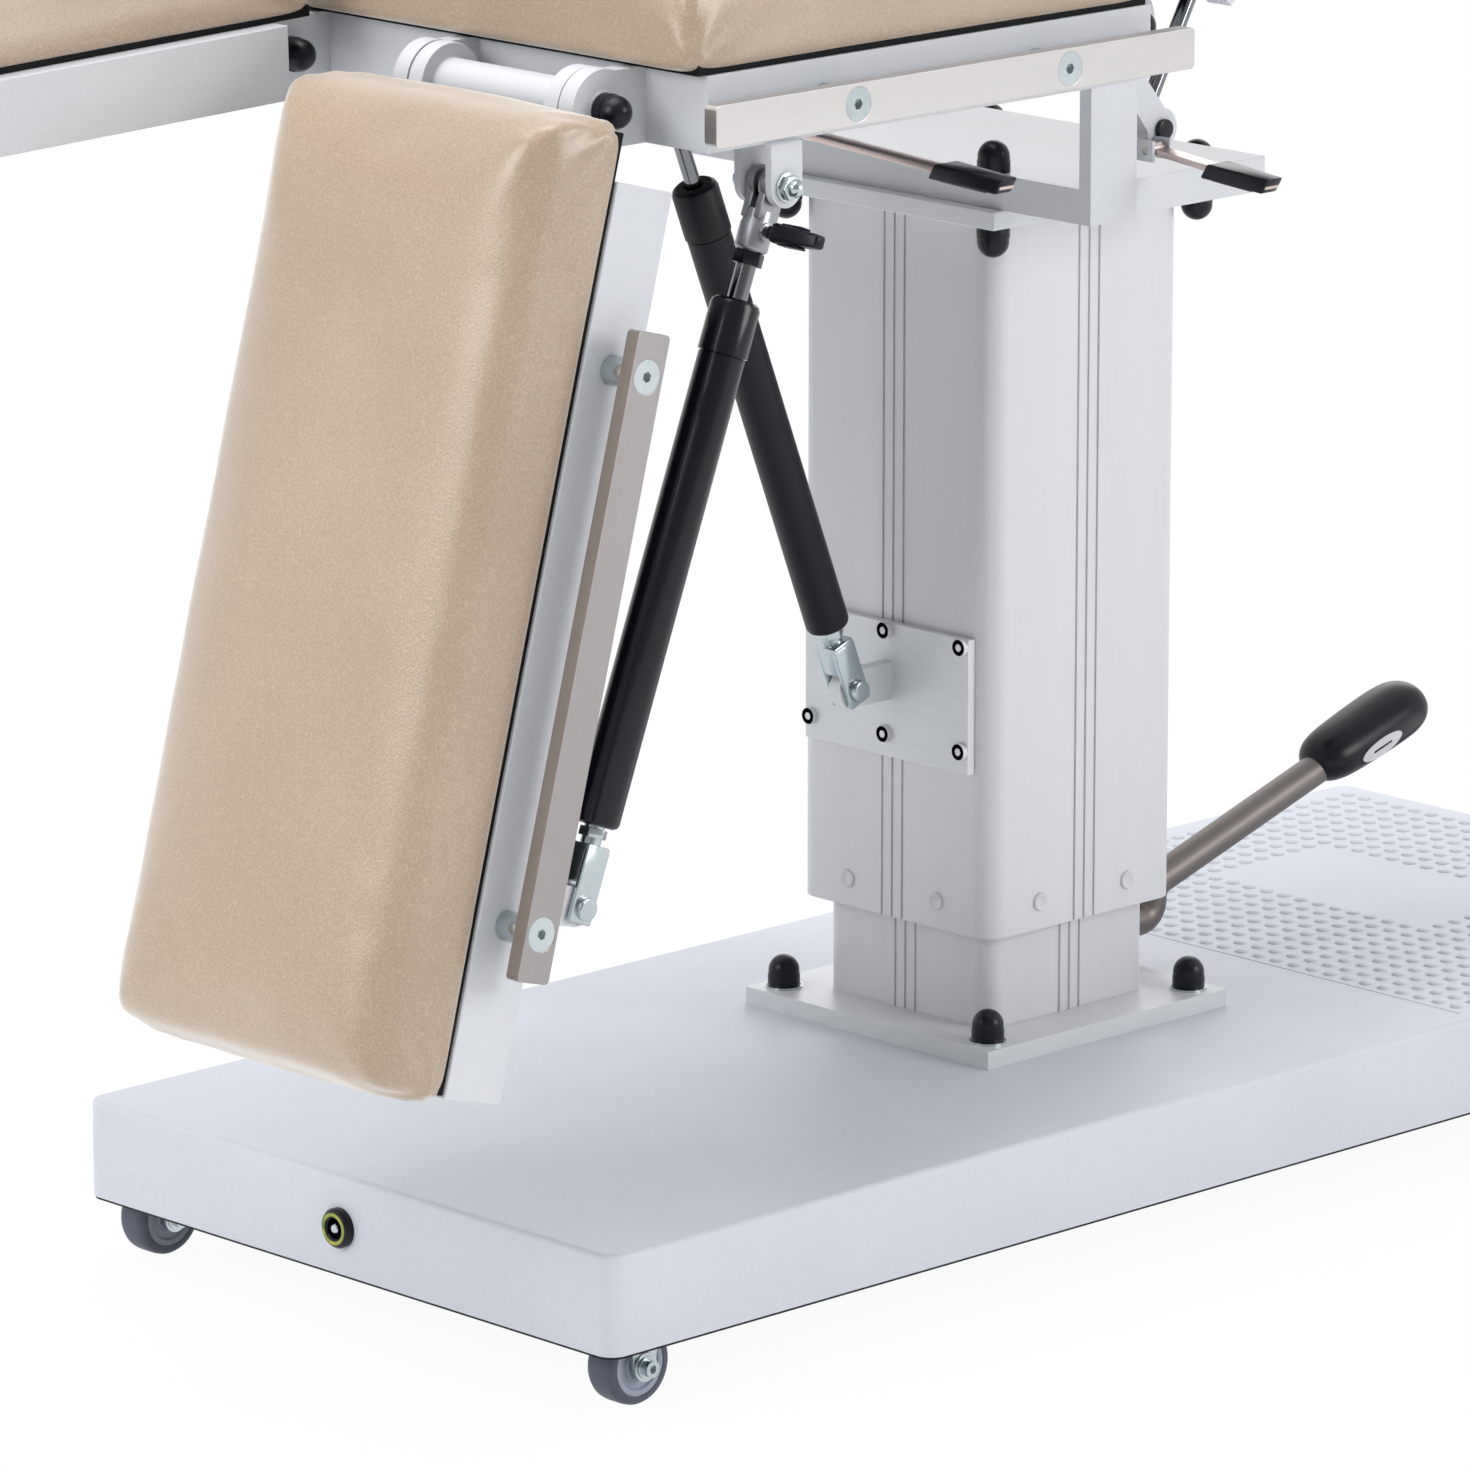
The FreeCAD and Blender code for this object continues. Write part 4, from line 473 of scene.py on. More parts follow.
def rounded(low: Point2, high: Point2, radius: float, steps: int = 6) -> list[Point2]:
    """Plan outline of a rectangle with rounded corners.

    Args:
        low: Its lowest corner, in millimetres.
        high: Its highest corner.
        radius: Radius of the corners.
        steps: Stretches along each corner.

    Returns:
        The outline's points, anticlockwise.
    """
    points = []
    for x, y, start in (
        (high[0] - radius, high[1] - radius, 0.0), (low[0] + radius, high[1] - radius, 90.0),
        (low[0] + radius, low[1] + radius, 180.0), (high[0] - radius, low[1] + radius, 270.0),
    ):
        for step in range(steps + 1):
            turn = math.radians(start + 90.0 * step / steps)
            points.append((x + radius * math.cos(turn), y + radius * math.sin(turn)))
    return points


def lofted(rings: list[tuple[list[Point2], float]], closed: bool = False) -> Mesh:
    """Skin a stack of plan outlines that have the same number of points.

    Args:
        rings: Each outline with its height, in millimetres.
        closed: The last ring joins the first, otherwise both ends are capped.

    Returns:
        A closed mesh.
    """
    bm = bmesh.new()
    loops = [[bm.verts.new((x * MM, y * MM, z * MM)) for x, y in ring] for ring, z in rings]
    count = len(loops[0])
    for below, above in zip(loops, loops[1:] + loops[:1] if closed else loops[1:]):
        for i in range(count):
            j = (i + 1) % count
            bm.faces.new((below[i], below[j], above[j], above[i]))
    if not closed:
        bm.faces.new(list(reversed(loops[0])))
        bm.faces.new(loops[-1])
    bmesh.ops.recalc_face_normals(bm, faces=bm.faces)
    return bm


def dome(radius: float, height: float, steps: int = 7) -> list[Point2]:
    """Outline of a half ball that closes a turned piece at its top.

    Args:
        radius: Radius in millimetres.
        height: Height of its middle.
        steps: Stretches from the rim to the pole.

    Returns:
        The outline's points, from the rim to the pole.
    """
    turns = [math.pi / 2 * i / steps for i in range(steps)]
    return [(radius * math.cos(t), height + radius * math.sin(t)) for t in turns] + [(0.0, height + radius)]


def at(x: float, y: float, z: float) -> Matrix:
    """Placement at a point in millimetres."""
    return Matrix.Translation((x * MM, y * MM, z * MM))


def facing(x: float, y: float, z: float, normal: Point3) -> Matrix:
    """Placement that stands a piece drawn along +Z on a face with that outward normal."""
    return at(x, y, z) @ Vector(normal).to_track_quat("Z", "X").to_matrix().to_4x4()


def swing(pivot_x: float, degrees: float) -> Matrix:
    """Placement that turns a section about its pivot line.

    Args:
        pivot_x: Where the pivot line crosses the table, in millimetres.
        degrees: The turn about +Y.

    Returns:
        The placement.
    """
    pivot = at(pivot_x, 0.0, PIVOT_Z)
    return pivot @ Matrix.Rotation(math.radians(degrees), 4, "Y") @ pivot.inverted()


def between(foot: Point2, head: Point2, y: float) -> Matrix:
    """Placement that runs a piece drawn along +Z from one point to another.

    Args:
        foot: Where it starts, as (x, z) in millimetres.
        head: Where it points to.
        y: The plane that it lies in.

    Returns:
        The placement.
    """
    lean = math.atan2(head[0] - foot[0], head[1] - foot[1])
    return at(foot[0], y, foot[1]) @ Matrix.Rotation(lean, 4, "Y")


def leg_place(name: str) -> Matrix:
    """Placement of a leg section that is drawn flat."""
    return swing(LEG_PIVOT_X, -LEG_DROP[name])


def back_place() -> Matrix:
    """Placement of the back section that is drawn flat."""
    return swing(BACK_PIVOT_X, -BACK_RAISE)


def spot(place: Matrix, x: float, y: float, z: float) -> Point2:
    """Find where a placement puts a point.

    Args:
        place: The placement.
        x: The drawn point, in millimetres.
        y: Its second coordinate.
        z: Its third coordinate.

    Returns:
        The point as (x, z) in millimetres.
    """
    found = place @ Vector((x * MM, y * MM, z * MM))
    return found.x / MM, found.z / MM


def piece(
    name: str,
    bm: Mesh,
    finish: Finish,
    body: str,
    replaces: tuple[str, ...] = (),
    sharp: float = 32.0,
    flat: bool = False,
) -> bpy.types.Object:
    """Make a finished piece from a mesh that is already in its place.

    Args:
        name: Name of the piece.
        bm: Its mesh, which is freed.
        finish: Its finish.
        body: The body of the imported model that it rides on.
        replaces: The nodes that it stands for.
        sharp: Edges sharper than this many degrees stay crisp.
        flat: Large faces keep their own direction in the shading of rounded edges.

    Returns:
        The new object.
    """
    mesh = bpy.data.meshes.new(name)
    bm.to_mesh(mesh)
    bm.free()
    mesh.polygons.foreach_set("use_smooth", [True] * len(mesh.polygons))
    mesh.set_sharp_from_angle(angle=math.radians(sharp))
    mesh.materials.append(finish.material())
    made = bpy.data.objects.new(name, mesh)
    bpy.context.scene.collection.objects.link(made)
    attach(made, body)
    if replaces:
        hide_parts(*replaces)
    if flat:
        weighted = made.modifiers.new("weighted", "WEIGHTED_NORMAL")
        weighted.keep_sharp = True
        bake_modifiers(made)
    LOG.info("piece %s on %s, %d faces", name, body, len(made.data.polygons))
    return made


@dataclass
class Workshop:
    """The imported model, and the work that starts from one of its nodes."""

    frame: dict

    def copy(self, node: str, flat: float = 0.5) -> Mesh:
        """Merge a copy of a node's loose triangles into whole faces.

        Args:
            node: The node.
            flat: Faces that meet at less than this many degrees become one.

        Returns:
            A mesh with the node's shape.
        """
        bm = bmesh.new()
        bm.from_mesh(self.frame["nodes"][node].data)
        bmesh.ops.remove_doubles(bm, verts=bm.verts, dist=2e-6)
        bmesh.ops.dissolve_limit(
            bm, angle_limit=math.radians(flat), use_dissolve_boundaries=False, verts=bm.verts, edges=bm.edges
        )
        return bm

    def eased(self, node: str, finish: Finish, body: str, slot: str, width: float) -> None:
        """Dress a node's own shape with its sharp edges rounded.

        Args:
            node: The node.
            finish: Its finish.
            body: The body that it rides on.
            slot: Not used.
            width: Width of the rounding in millimetres.
        """
        piece(f"{node}_dressed", soften(self.copy(node), width), finish, body, (node,), flat=True)

    def painted(self, finish: Finish, node: str) -> None:
        """Give a node whose shape is right a better material.

        Args:
            finish: The finish.
            node: The node.
        """
        mesh = self.frame["nodes"][node].data
        mesh.materials.clear()
        mesh.materials.append(finish.material())


@dataclass(frozen=True)
class SocketScrew:
    """Screw head with a hexagon socket, drawn with its top face at z = 0 and facing +Z."""

    radius: float
    depth: float
    socket: float
    foot: float
    steps: int = 36

    def build(self) -> Mesh:
        """Turn the head, sink the socket and close its floor.

        Returns:
            The head as a closed mesh.
        """
        bm = bmesh.new()
        rim = bmesh.ops.create_circle(bm, segments=self.steps, radius=self.radius * MM)["verts"]
        rim_edges = list({e for v in rim for e in v.link_edges})
        hexagon = bmesh.ops.create_circle(bm, segments=6, radius=self.socket * MM)["verts"]
        hex_edges = list({e for v in hexagon for e in v.link_edges})
        bmesh.ops.subdivide_edges(bm, edges=hex_edges, cuts=self.steps // 6 - 1)
        hex_edges = [e for e in bm.edges if e not in rim_edges]
        bmesh.ops.bridge_loops(bm, edges=rim_edges + hex_edges)
        sunk = bmesh.ops.extrude_edge_only(bm, edges=hex_edges)["geom"]
        floor = [g for g in sunk if isinstance(g, bmesh.types.BMVert)]
        bmesh.ops.translate(bm, vec=(0, 0, -self.depth * 0.6 * MM), verts=floor)
        bmesh.ops.contextual_create(bm, geom=[g for g in sunk if isinstance(g, bmesh.types.BMEdge)])
        skirt = bmesh.ops.extrude_edge_only(bm, edges=rim_edges)["geom"]
        low = [g for g in skirt if isinstance(g, bmesh.types.BMVert)]
        share = self.foot / self.radius
        bmesh.ops.scale(bm, vec=(share, share, 1.0), verts=low)
        bmesh.ops.translate(bm, vec=(0, 0, -self.depth * MM), verts=low)
        bmesh.ops.contextual_create(bm, geom=[g for g in skirt if isinstance(g, bmesh.types.BMEdge)])
        bmesh.ops.recalc_face_normals(bm, faces=bm.faces)
        return bm


@dataclass(frozen=True)
class DomedCap:
    """Domed plastic cap over a nut, with a line round its skirt, drawn along +Z."""

    radius: float = 10.5
    height: float = 20.0
    chamfer: Point2 = (0.3, 0.8)
    skirt: float = 7.2
    line: float = 0.5
    rim: float = 0.9
    step: float = 0.4
    steps: int = 36

    def build(self) -> Mesh:
        """Turn the skirt and the dome as one shell.

        Returns:
            A closed mesh.
        """
        inner = self.radius - self.step
        edge = self.skirt + self.line
        outline = [
            (0, 0), (self.radius - self.chamfer[0], 0), (self.radius, self.chamfer[1]),
            (self.radius, self.skirt), (inner, edge), (inner, edge + self.rim),
        ]
        return lathe(outline + dome(inner, self.height - inner), self.steps)


@dataclass(frozen=True)
class Lamp:
    """Square area lamp: its place in millimetres, its power in watts and its width in metres."""

    name: str
    place: Point3
    power: float
    width: float

    def build(self, target: Vector) -> None:
        """Hang the lamp and aim it.

        Args:
            target: The point that it lights, in metres.
        """
        data = bpy.data.lights.new(self.name, "AREA")
        data.energy = self.power
        data.size = self.width
        made = bpy.data.objects.new(self.name, data)
        made.location = [v * MM for v in self.place]
        made.rotation_mode = "QUATERNION"
        made.rotation_quaternion = (target - made.location).to_track_quat("-Z", "Y")
        bpy.context.scene.collection.objects.link(made)


@dataclass
class Studio:
    """Pale floor, soft light and the camera at the photograph's angle."""

    camera_place: Point3 = (-4155.2, -4072.3, 1705.5)
    camera_turn: Point3 = (76.256, 0.0, -43.977)
    lens: float = 228.09
    sensor: float = 36.0
    floor_size: float = 20.0
    floor_share: float = 0.95
    world_rear: float = 1.0
    world_front: float = 0.3
    target: Point3 = (0.0, 0.0, 0.55)
    lamps: tuple[Lamp, ...] = (
        Lamp("key", (-4300.0, 300.0, 2600.0), 84.0, 2.2),
        Lamp("fill", (1600.0, -4200.0, 1900.0), 78.0, 2.0),
        Lamp("top", (-900.0, 200.0, 4300.0), 115.0, 3.0),
        Lamp("rear", (3600.0, 2600.0, 2400.0), 30.0, 2.4),
    )

    def camera(self) -> None:
        """Set up the camera."""
        data = bpy.data.cameras.new("camera")
        data.sensor_width = self.sensor
        data.lens = self.lens
        data.clip_start = 0.1
        data.clip_end = 60.0
        made = bpy.data.objects.new("camera", data)
        made.location = [v * MM for v in self.camera_place]
        made.rotation_euler = Euler([math.radians(v) for v in self.camera_turn])
        bpy.context.scene.collection.objects.link(made)
        bpy.context.scene.camera = made

    def floor(self) -> None:
        """Lay the floor: white to the camera and in reflections, with the table's soft shadow."""
        bm = bmesh.new()
        bmesh.ops.create_grid(bm, x_segments=1, y_segments=1, size=self.floor_size)
        mesh = bpy.data.meshes.new("floor")
        bm.to_mesh(mesh)
        bm.free()
        made = bpy.data.objects.new("floor", mesh)
        bpy.context.scene.collection.objects.link(made)
        material = bpy.data.materials.new("studio_floor")
        material.use_nodes = True
        tree = material.node_tree
        shader = tree.nodes["Principled BSDF"]
        shader.inputs["Base Color"].default_value = linear("#F4F4F4")
        shader.inputs["Roughness"].default_value = 0.9
        shader.inputs["Specular IOR Level"].default_value = 0.1
        seen = self.seen_directly(tree)
        white = add_node(tree, "ShaderNodeEmission", {"Strength": 1.0, "Color": (1.0, 1.0, 1.0, 1.0)})
        share = add_node(tree, "ShaderNodeMath", {"operation": "MULTIPLY", 1: self.floor_share}, {0: seen})
        mix = add_node(
            tree, "ShaderNodeMixShader", None,
            {0: share.outputs[0], 1: shader.outputs[0], 2: white.outputs[0]},
        )
        tree.links.new(mix.outputs[0], tree.nodes["Material Output"].inputs["Surface"])
        mesh.materials.append(material)

    def seen_directly(self, tree: bpy.types.NodeTree) -> bpy.types.NodeSocket:
        """Tell the rays that should see plain white from those that light the table.

        Args:
            tree: The floor's node tree.

        Returns:
            A socket that is one for camera, glossy and transmission rays.
        """
        rays = add_node(tree, "ShaderNodeLightPath")
        first = add_node(
            tree, "ShaderNodeMath", {"operation": "MAXIMUM"},
            {0: rays.outputs["Is Camera Ray"], 1: rays.outputs["Is Glossy Ray"]},
        )
        both = add_node(
            tree, "ShaderNodeMath", {"operation": "MAXIMUM"},
            {0: first.outputs[0], 1: rays.outputs["Is Transmission Ray"]},
        )
        return both.outputs[0]

    def light(self) -> None:
        """Light the table from both sides, with a darker stretch behind the camera."""
        world = bpy.data.worlds.new("studio")
        bpy.context.scene.world = world
        world.use_nodes = True
        tree = world.node_tree
        back = tree.nodes["Background"]
        back.inputs["Color"].default_value = (1.0, 1.0, 1.0, 1.0)
        look = add_node(tree, "ShaderNodeTexCoord").outputs["Generated"]
        front = Vector(self.camera_place).normalized()
        side = add_node(tree, "ShaderNodeVectorMath", {"operation": "DOT_PRODUCT", 1: front[:]}, {0: look})
        level = add_node(
            tree, "ShaderNodeMapRange",
            {"From Min": -0.2, "From Max": 0.95, "To Min": self.world_rear, "To Max": self.world_front},
            {"Value": side.outputs["Value"]},
        )
        ray = add_node(tree, "ShaderNodeLightPath").outputs["Is Camera Ray"]
        shown = add_node(tree, "ShaderNodeMath", {"operation": "MAXIMUM"}, {0: level.outputs[0], 1: ray})
        tree.links.new(shown.outputs[0], back.inputs["Strength"])
        for lamp in self.lamps:
            lamp.build(Vector(self.target))

    def build(self) -> None:
        """Set up the whole studio."""
        bpy.context.scene.view_settings.view_transform = "Standard"
        self.camera()
        self.floor()
        self.light()


@dataclass(frozen=True)
class Pleat:
    """One set of pleats in a corner: how many run round it, how high they rise and how far out."""

    count: float
    turn: float
    height: float
    reach: float

    def rise(self, angle: float, away: float) -> float:
        """Height of the pleats at a point.

        Args:
            angle: Direction of the point, seen from the corner.
            away: Its distance from the corner, in millimetres.

        Returns:
            The height in millimetres.
        """
        share = away / self.reach
        return math.cos(angle * self.count + self.turn) * self.height * share * math.exp(1.0 - share)


@dataclass
class Pad:
    """One upholstered pad, drawn flat and then put in its place."""

    name: str
    node: str
    body: str
    low: Point3
    high: Point3
    place: Matrix
    corner: float = 12.0
    roll: float = 21.0
    roll_height: float = 23.0
    roll_steps: int = 8
    crown: float = 7.0
    swell: float = 3.0
    passes: int = 8
    held: float = 4.0
    voxel: float = 6.0
    bevel: float = 0.0
    bulge: float = 1.2
    top_rings: Point3 = (0.35, 0.7, 1.0)
    pressure: float = 4.0
    stiffness: float = 8.0
    frames: int = 20
    pleat_reach: float = 110.0
    pleats: tuple[Pleat, ...] = (Pleat(14.0, 0.0, 1.7, 12.0), Pleat(7.0, 0.8, 0.55, 45.0))

    def ring(self, inset: float) -> list[Point2]:
        """Plan outline moved inwards, always with the same number of points.

        Args:
            inset: How far it is moved, in millimetres.

        Returns:
            The outline's points.
        """
        low = (self.low[0] + inset, self.low[1] + inset)
        high = (self.high[0] - inset, self.high[1] - inset)
        return rounded(low, high, max(self.corner - inset, 0.6))

    def shell(self) -> Mesh:
        """Foam block with straight sides, a soft roll along the top edge and a crowned top.

        Returns:
            A closed mesh.
        """
        foot, top = self.low[2], self.high[2]
        rings = [(0.5, foot), (0.0, foot + 2.0), (0.0, foot + 8.0), (self.bulge, top - self.roll_height)]
        for step in range(1, self.roll_steps + 1):
            turn = math.pi / 2 * step / self.roll_steps
            inset = self.bulge + self.roll * (1.0 - math.cos(turn))
            rings.append((inset, top - self.roll_height * (1.0 - math.sin(turn))))
        half = min(self.high[0] - self.low[0], self.high[1] - self.low[1]) / 2 - 4.0
        edge = rings[-1][0]
        for share in self.top_rings:
            rings.append((edge + (half - edge) * share, top + self.crown * (1.0 - (1.0 - share) ** 2)))
        bm = lofted([(self.ring(inset), z) for inset, z in rings])
        reach = 2.0 * self.roll * MM
        for vert in bm.verts:
            share = max(0.0, 1.0 - (vert.co.x - self.low[0] * MM) / reach)
            vert.co.x += min(share * 1.6, 1.0) * self.bevel * (vert.co.z - foot * MM) / (top - foot)
        return bm

    def build(self) -> bpy.types.Object:
        """Simulate the cover over the foam and dress it.

        Returns:
            The finished pad.
        """
        made = piece(self.name, self.shell(), VINYL, self.body, (self.node,), sharp=70.0)
        remesh = made.modifiers.new("remesh", "REMESH")
        remesh.mode = "VOXEL"
        remesh.voxel_size = self.voxel * MM
        bake_modifiers(made)
        rest = [v.co.copy() for v in made.data.vertices]
        self.simulate(made, rest)
        bm = bmesh.new()
        bm.from_mesh(made.data)
        free = [v for v in bm.verts if v.co.z > (self.low[2] + self.held) * MM]
        for _ in range(self.passes):
            bmesh.ops.smooth_vert(
                bm, verts=free, factor=0.5, use_axis_x=True, use_axis_y=True, use_axis_z=True
            )
        self.relax(bm)
        self.gather(bm)
        moved(bm, self.place)
        bm.to_mesh(made.data)
        bm.free()
        smooth = made.modifiers.new("smooth", "SUBSURF")
        smooth.levels = 1
        smooth.render_levels = 1
        made.data.polygons.foreach_set("use_smooth", [True] * len(made.data.polygons))
        return made

    def simulate(self, made: bpy.types.Object, rest: list[Vector]) -> None:
        """Blow the cover up over its board with cloth pressure, within a cap.

        Args:
            made: The remeshed pad.
            rest: Where its points start.
        """
        group = made.vertex_groups.new(name="stapled")
        limit = (self.low[2] + self.held) * MM
        group.add([i for i, p in enumerate(rest) if p.z < limit], 1.0, "REPLACE")
        cloth = made.modifiers.new("cloth", "CLOTH")
        settings = cloth.settings
        settings.vertex_group_mass = "stapled"
        settings.use_pressure = True
        settings.uniform_pressure_force = self.pressure
        settings.effector_weights.gravity = 0.0
        settings.quality = 5
        settings.bending_stiffness = self.stiffness
        cloth.point_cache.frame_start = 1
        cloth.point_cache.frame_end = self.frames
        scene = bpy.context.scene
        for step in range(1, self.frames + 1):
            scene.frame_set(step)
        blown = made.evaluated_get(bpy.context.evaluated_depsgraph_get()).data
        found = [v.co.copy() for v in blown.vertices]
        made.modifiers.remove(cloth)
        scene.frame_set(1)
        reach = self.swell * MM
        for vert, start, end in zip(made.data.vertices, rest, found):
            step_out = end - start
            if step_out.length > reach:
                step_out *= reach / step_out.length
            vert.co = start + step_out

    def relax(self, bm: Mesh) -> None:
        """Let the foam be a little uneven, more on the top than on the sides.

        Args:
            bm: The pad, still flat.
        """
        foot, top = self.low[2] * MM, self.high[2] * MM
        for vert in bm.verts:
            share = max(0.0, (vert.co.z - foot) / (top - foot))
            wave = noise.noise(vert.co * 9.0) + 0.5 * noise.noise(vert.co * 21.0)
            vert.co += vert.normal * (wave * MM * share)

    def gather(self, bm: Mesh) -> None:
        """Gather the cover into small pleats that run out from the foot of each corner.

        Args:
            bm: The pad, still flat.
        """
        bm.normal_update()
        foot = self.low[2] * MM
        corners = [(x * MM, y * MM) for x in (self.low[0], self.high[0]) for y in (self.low[1], self.high[1])]
        for vert in bm.verts:
            x, y = min(corners, key=lambda c: (vert.co.x - c[0]) ** 2 + (vert.co.y - c[1]) ** 2)
            side = math.hypot(vert.co.x - x, vert.co.y - y)
            rise = vert.co.z - foot
            away = math.hypot(side, rise) / MM
            if away > self.pleat_reach or vert.co.z < foot + MM:
                continue
            turn = math.atan2(rise, side)
            vert.co += vert.normal * (sum(pleat.rise(turn, away) for pleat in self.pleats) * MM)


def bake_modifiers(made: bpy.types.Object) -> None:
    """Put the result of an object's modifiers into its mesh.

    Args:
        made: The object, whose modifiers are cleared.
    """
    graph = bpy.context.evaluated_depsgraph_get()
    result = bpy.data.meshes.new_from_object(made.evaluated_get(graph), depsgraph=graph)
    result.name = made.name
    made.modifiers.clear()
    made.data = result


@dataclass
class Upholstery:
    """All pads with the boards under them; each cover is drawn down over its board's edge."""

    shop: Workshop
    seat_low: float = 805.8
    seat_high: float = 866.0
    leg_low: float = 812.4
    leg_high: float = 872.0
    board_edge: float = 0.8

    def pads(self) -> list[Pad]:
        """Sizes and places of the pads.

        Returns:
            The pads, all drawn flat.
        """
        flat = Matrix.Identity(4)
        found = [
            Pad("seat_pad_cover", "seat_cushion", "seat", (-520.0, -267.0, self.seat_low),
                (-131.0, 267.0, self.seat_high), flat),
            Pad("back_pad_cover", "back_cushion", "back", (-76.0, -267.0, self.leg_low),
                (607.5, 267.0, self.leg_high), back_place(), voxel=6.5, bevel=40.0),
            Pad("head_pad_cover", "head_cushion", "head", (639.5, -151.0, self.leg_low),
                (874.5, 151.0, self.leg_high), back_place(), voxel=5.0),
        ]
        for name, side in SIDES.items():
            inner, outer = sorted((side * 24.5, side * (HALF_WIDTH + 1.0)))
            found.append(
                Pad(f"leg_pad_cover_{name}", f"leg_pad_{name}", f"leg_{name}", (-1115.5, inner, self.leg_low),
                    (-542.5, outer, self.leg_high), leg_place(name), voxel=5.0)
            )
        return found

    def build(self) -> None:
        """Build every pad and ease the boards' edges."""
        for pad in self.pads():
            pad.build()
        for node, body in (
            ("seat_board", "seat"), ("back_board", "back"), ("leg_board_left", "leg_left"),
            ("leg_board_right", "leg_right"),
        ):
            self.shop.eased(node, BOARD, body, "board", self.board_edge)


@dataclass
class TableFrame:
    """Painted bars, hinge lugs and pins of the table top."""

    shop: Workshop
    edge: float = 1.3
    cap: DomedCap = DomedCap(height=19.5, chamfer=(0.4, 0.6), skirt=6.6, step=0.5, steps=32)
    washer_radius: float = 11.6
    washer: float = 1.0
    pin_outer: float = 214.0
    pin_inner: float = 60.0

    def pins(self) -> None:
        """Washers and caps on the hinge pins."""
        caps, washers = [], []
        for side in SIDES.values():
            for x, ends in (
                (LEG_PIVOT_X, ((self.pin_outer, side), (self.pin_inner, -side))),
                (BACK_PIVOT_X, ((self.pin_outer, side),)),
            ):
                for y, way in ends:
                    face = side * y
                    disc = round_bar(self.washer_radius, 0, self.washer, 32, 0.3)
                    washers.append(moved(disc, facing(x, face, PIVOT_Z, (0, way, 0))))
                    seat = facing(x, face + way * self.washer, PIVOT_Z, (0, way, 0))
                    caps.append(moved(self.cap.build(), seat))
        piece("hinge_caps", joined(*caps), MOULDED, "seat", ("hinge_pins",))
        piece("hinge_washers", joined(*washers), POWDER, "seat")

    def build(self) -> None:
        """Ease the frames and add the hinge pins."""
        for node, body in (
            ("seat_frame", "seat"), ("back_frame", "back"), ("head_frame", "head"),
            ("leg_frame_left", "leg_left"), ("leg_frame_right", "leg_right"),
        ):
            self.shop.eased(node, POWDER, body, "frame_paint", self.edge)
        self.pins()


@dataclass
class SideRails:
    """Accessory rails with their countersunk screws and spacers."""

    shop: Workshop
    edge: float = 2.0
    screw_radius: float = 10.2
    spacer_radius: float = 9.0
    spacer_length: float = 20.0
    seat_screws: tuple[float, float] = (-412.0, -236.0)
    leg_screws: tuple[float, float] = (-683.0, -1007.0)
    back_screws: tuple[float, float] = (138.5, 488.5)
    seat_z: float = 780.5
    leg_z: float = 787.5

    def fixings(
        self, name: str, xs: tuple[float, float], z: float, sides: list[int], place: Matrix, body: str,
        nodes: tuple[str, ...],
    ) -> None:
        """Screws and spacers of one rail.

        Args:
            name: Name of the section.
            xs: Where the screws sit along the rail, drawn flat.
            z: Height of the rail's middle, drawn flat.
            sides: The sides of the table, as signs.
            place: Placement of the section.
            body: The body that they ride on.
            nodes: The nodes that the screws stand for.
        """
        heads, spacers = [], []
        for side in sides:
            for x in xs:
                head = SocketScrew(self.screw_radius, 5.2, 3.4, 5.2).build()
                heads.append(moved(head, facing(x, side * (RAIL_FACE - 0.25), z, (0, side, 0)), place))
                tube = round_bar(self.spacer_radius, 0, self.spacer_length, 32, 0.5)
                spacers.append(moved(tube, facing(x, side * HALF_WIDTH, z, (0, side, 0)), place))
        piece(f"{name}_rail_screws", joined(*heads), ZINC, body, nodes)
        piece(f"{name}_rail_spacers", joined(*spacers), ZINC, body)

    def build(self) -> None:
        """Ease each rail and add its fixings."""
        flat = Matrix.Identity(4)
        both = list(SIDES.values())
        self.shop.eased("seat_rails", STAINLESS, "seat", "rail_steel", self.edge)
        self.fixings("seat", self.seat_screws, self.seat_z, both, flat, "seat", ("seat_rail_fixings",))
        for name, side in SIDES.items():
            # The leg rails take the darker copy of the stainless: painted shade.
            steel = SHADED_STAINLESS.turned(LEG_DROP[name], f"_leg_{name}")
            self.shop.eased(f"leg_rail_{name}", steel, f"leg_{name}", "rail_steel", self.edge)
            self.fixings(f"leg_{name}", self.leg_screws, self.leg_z, [side], leg_place(name), f"leg_{name}",
                         (f"leg_rail_fixings_{name}",))
        steel = STAINLESS.turned(BACK_RAISE, "_back")
        self.shop.eased("back_rails", steel, "back", "rail_steel", self.edge)
        self.fixings("back", self.back_screws, self.leg_z, both, back_place(), "back", ())


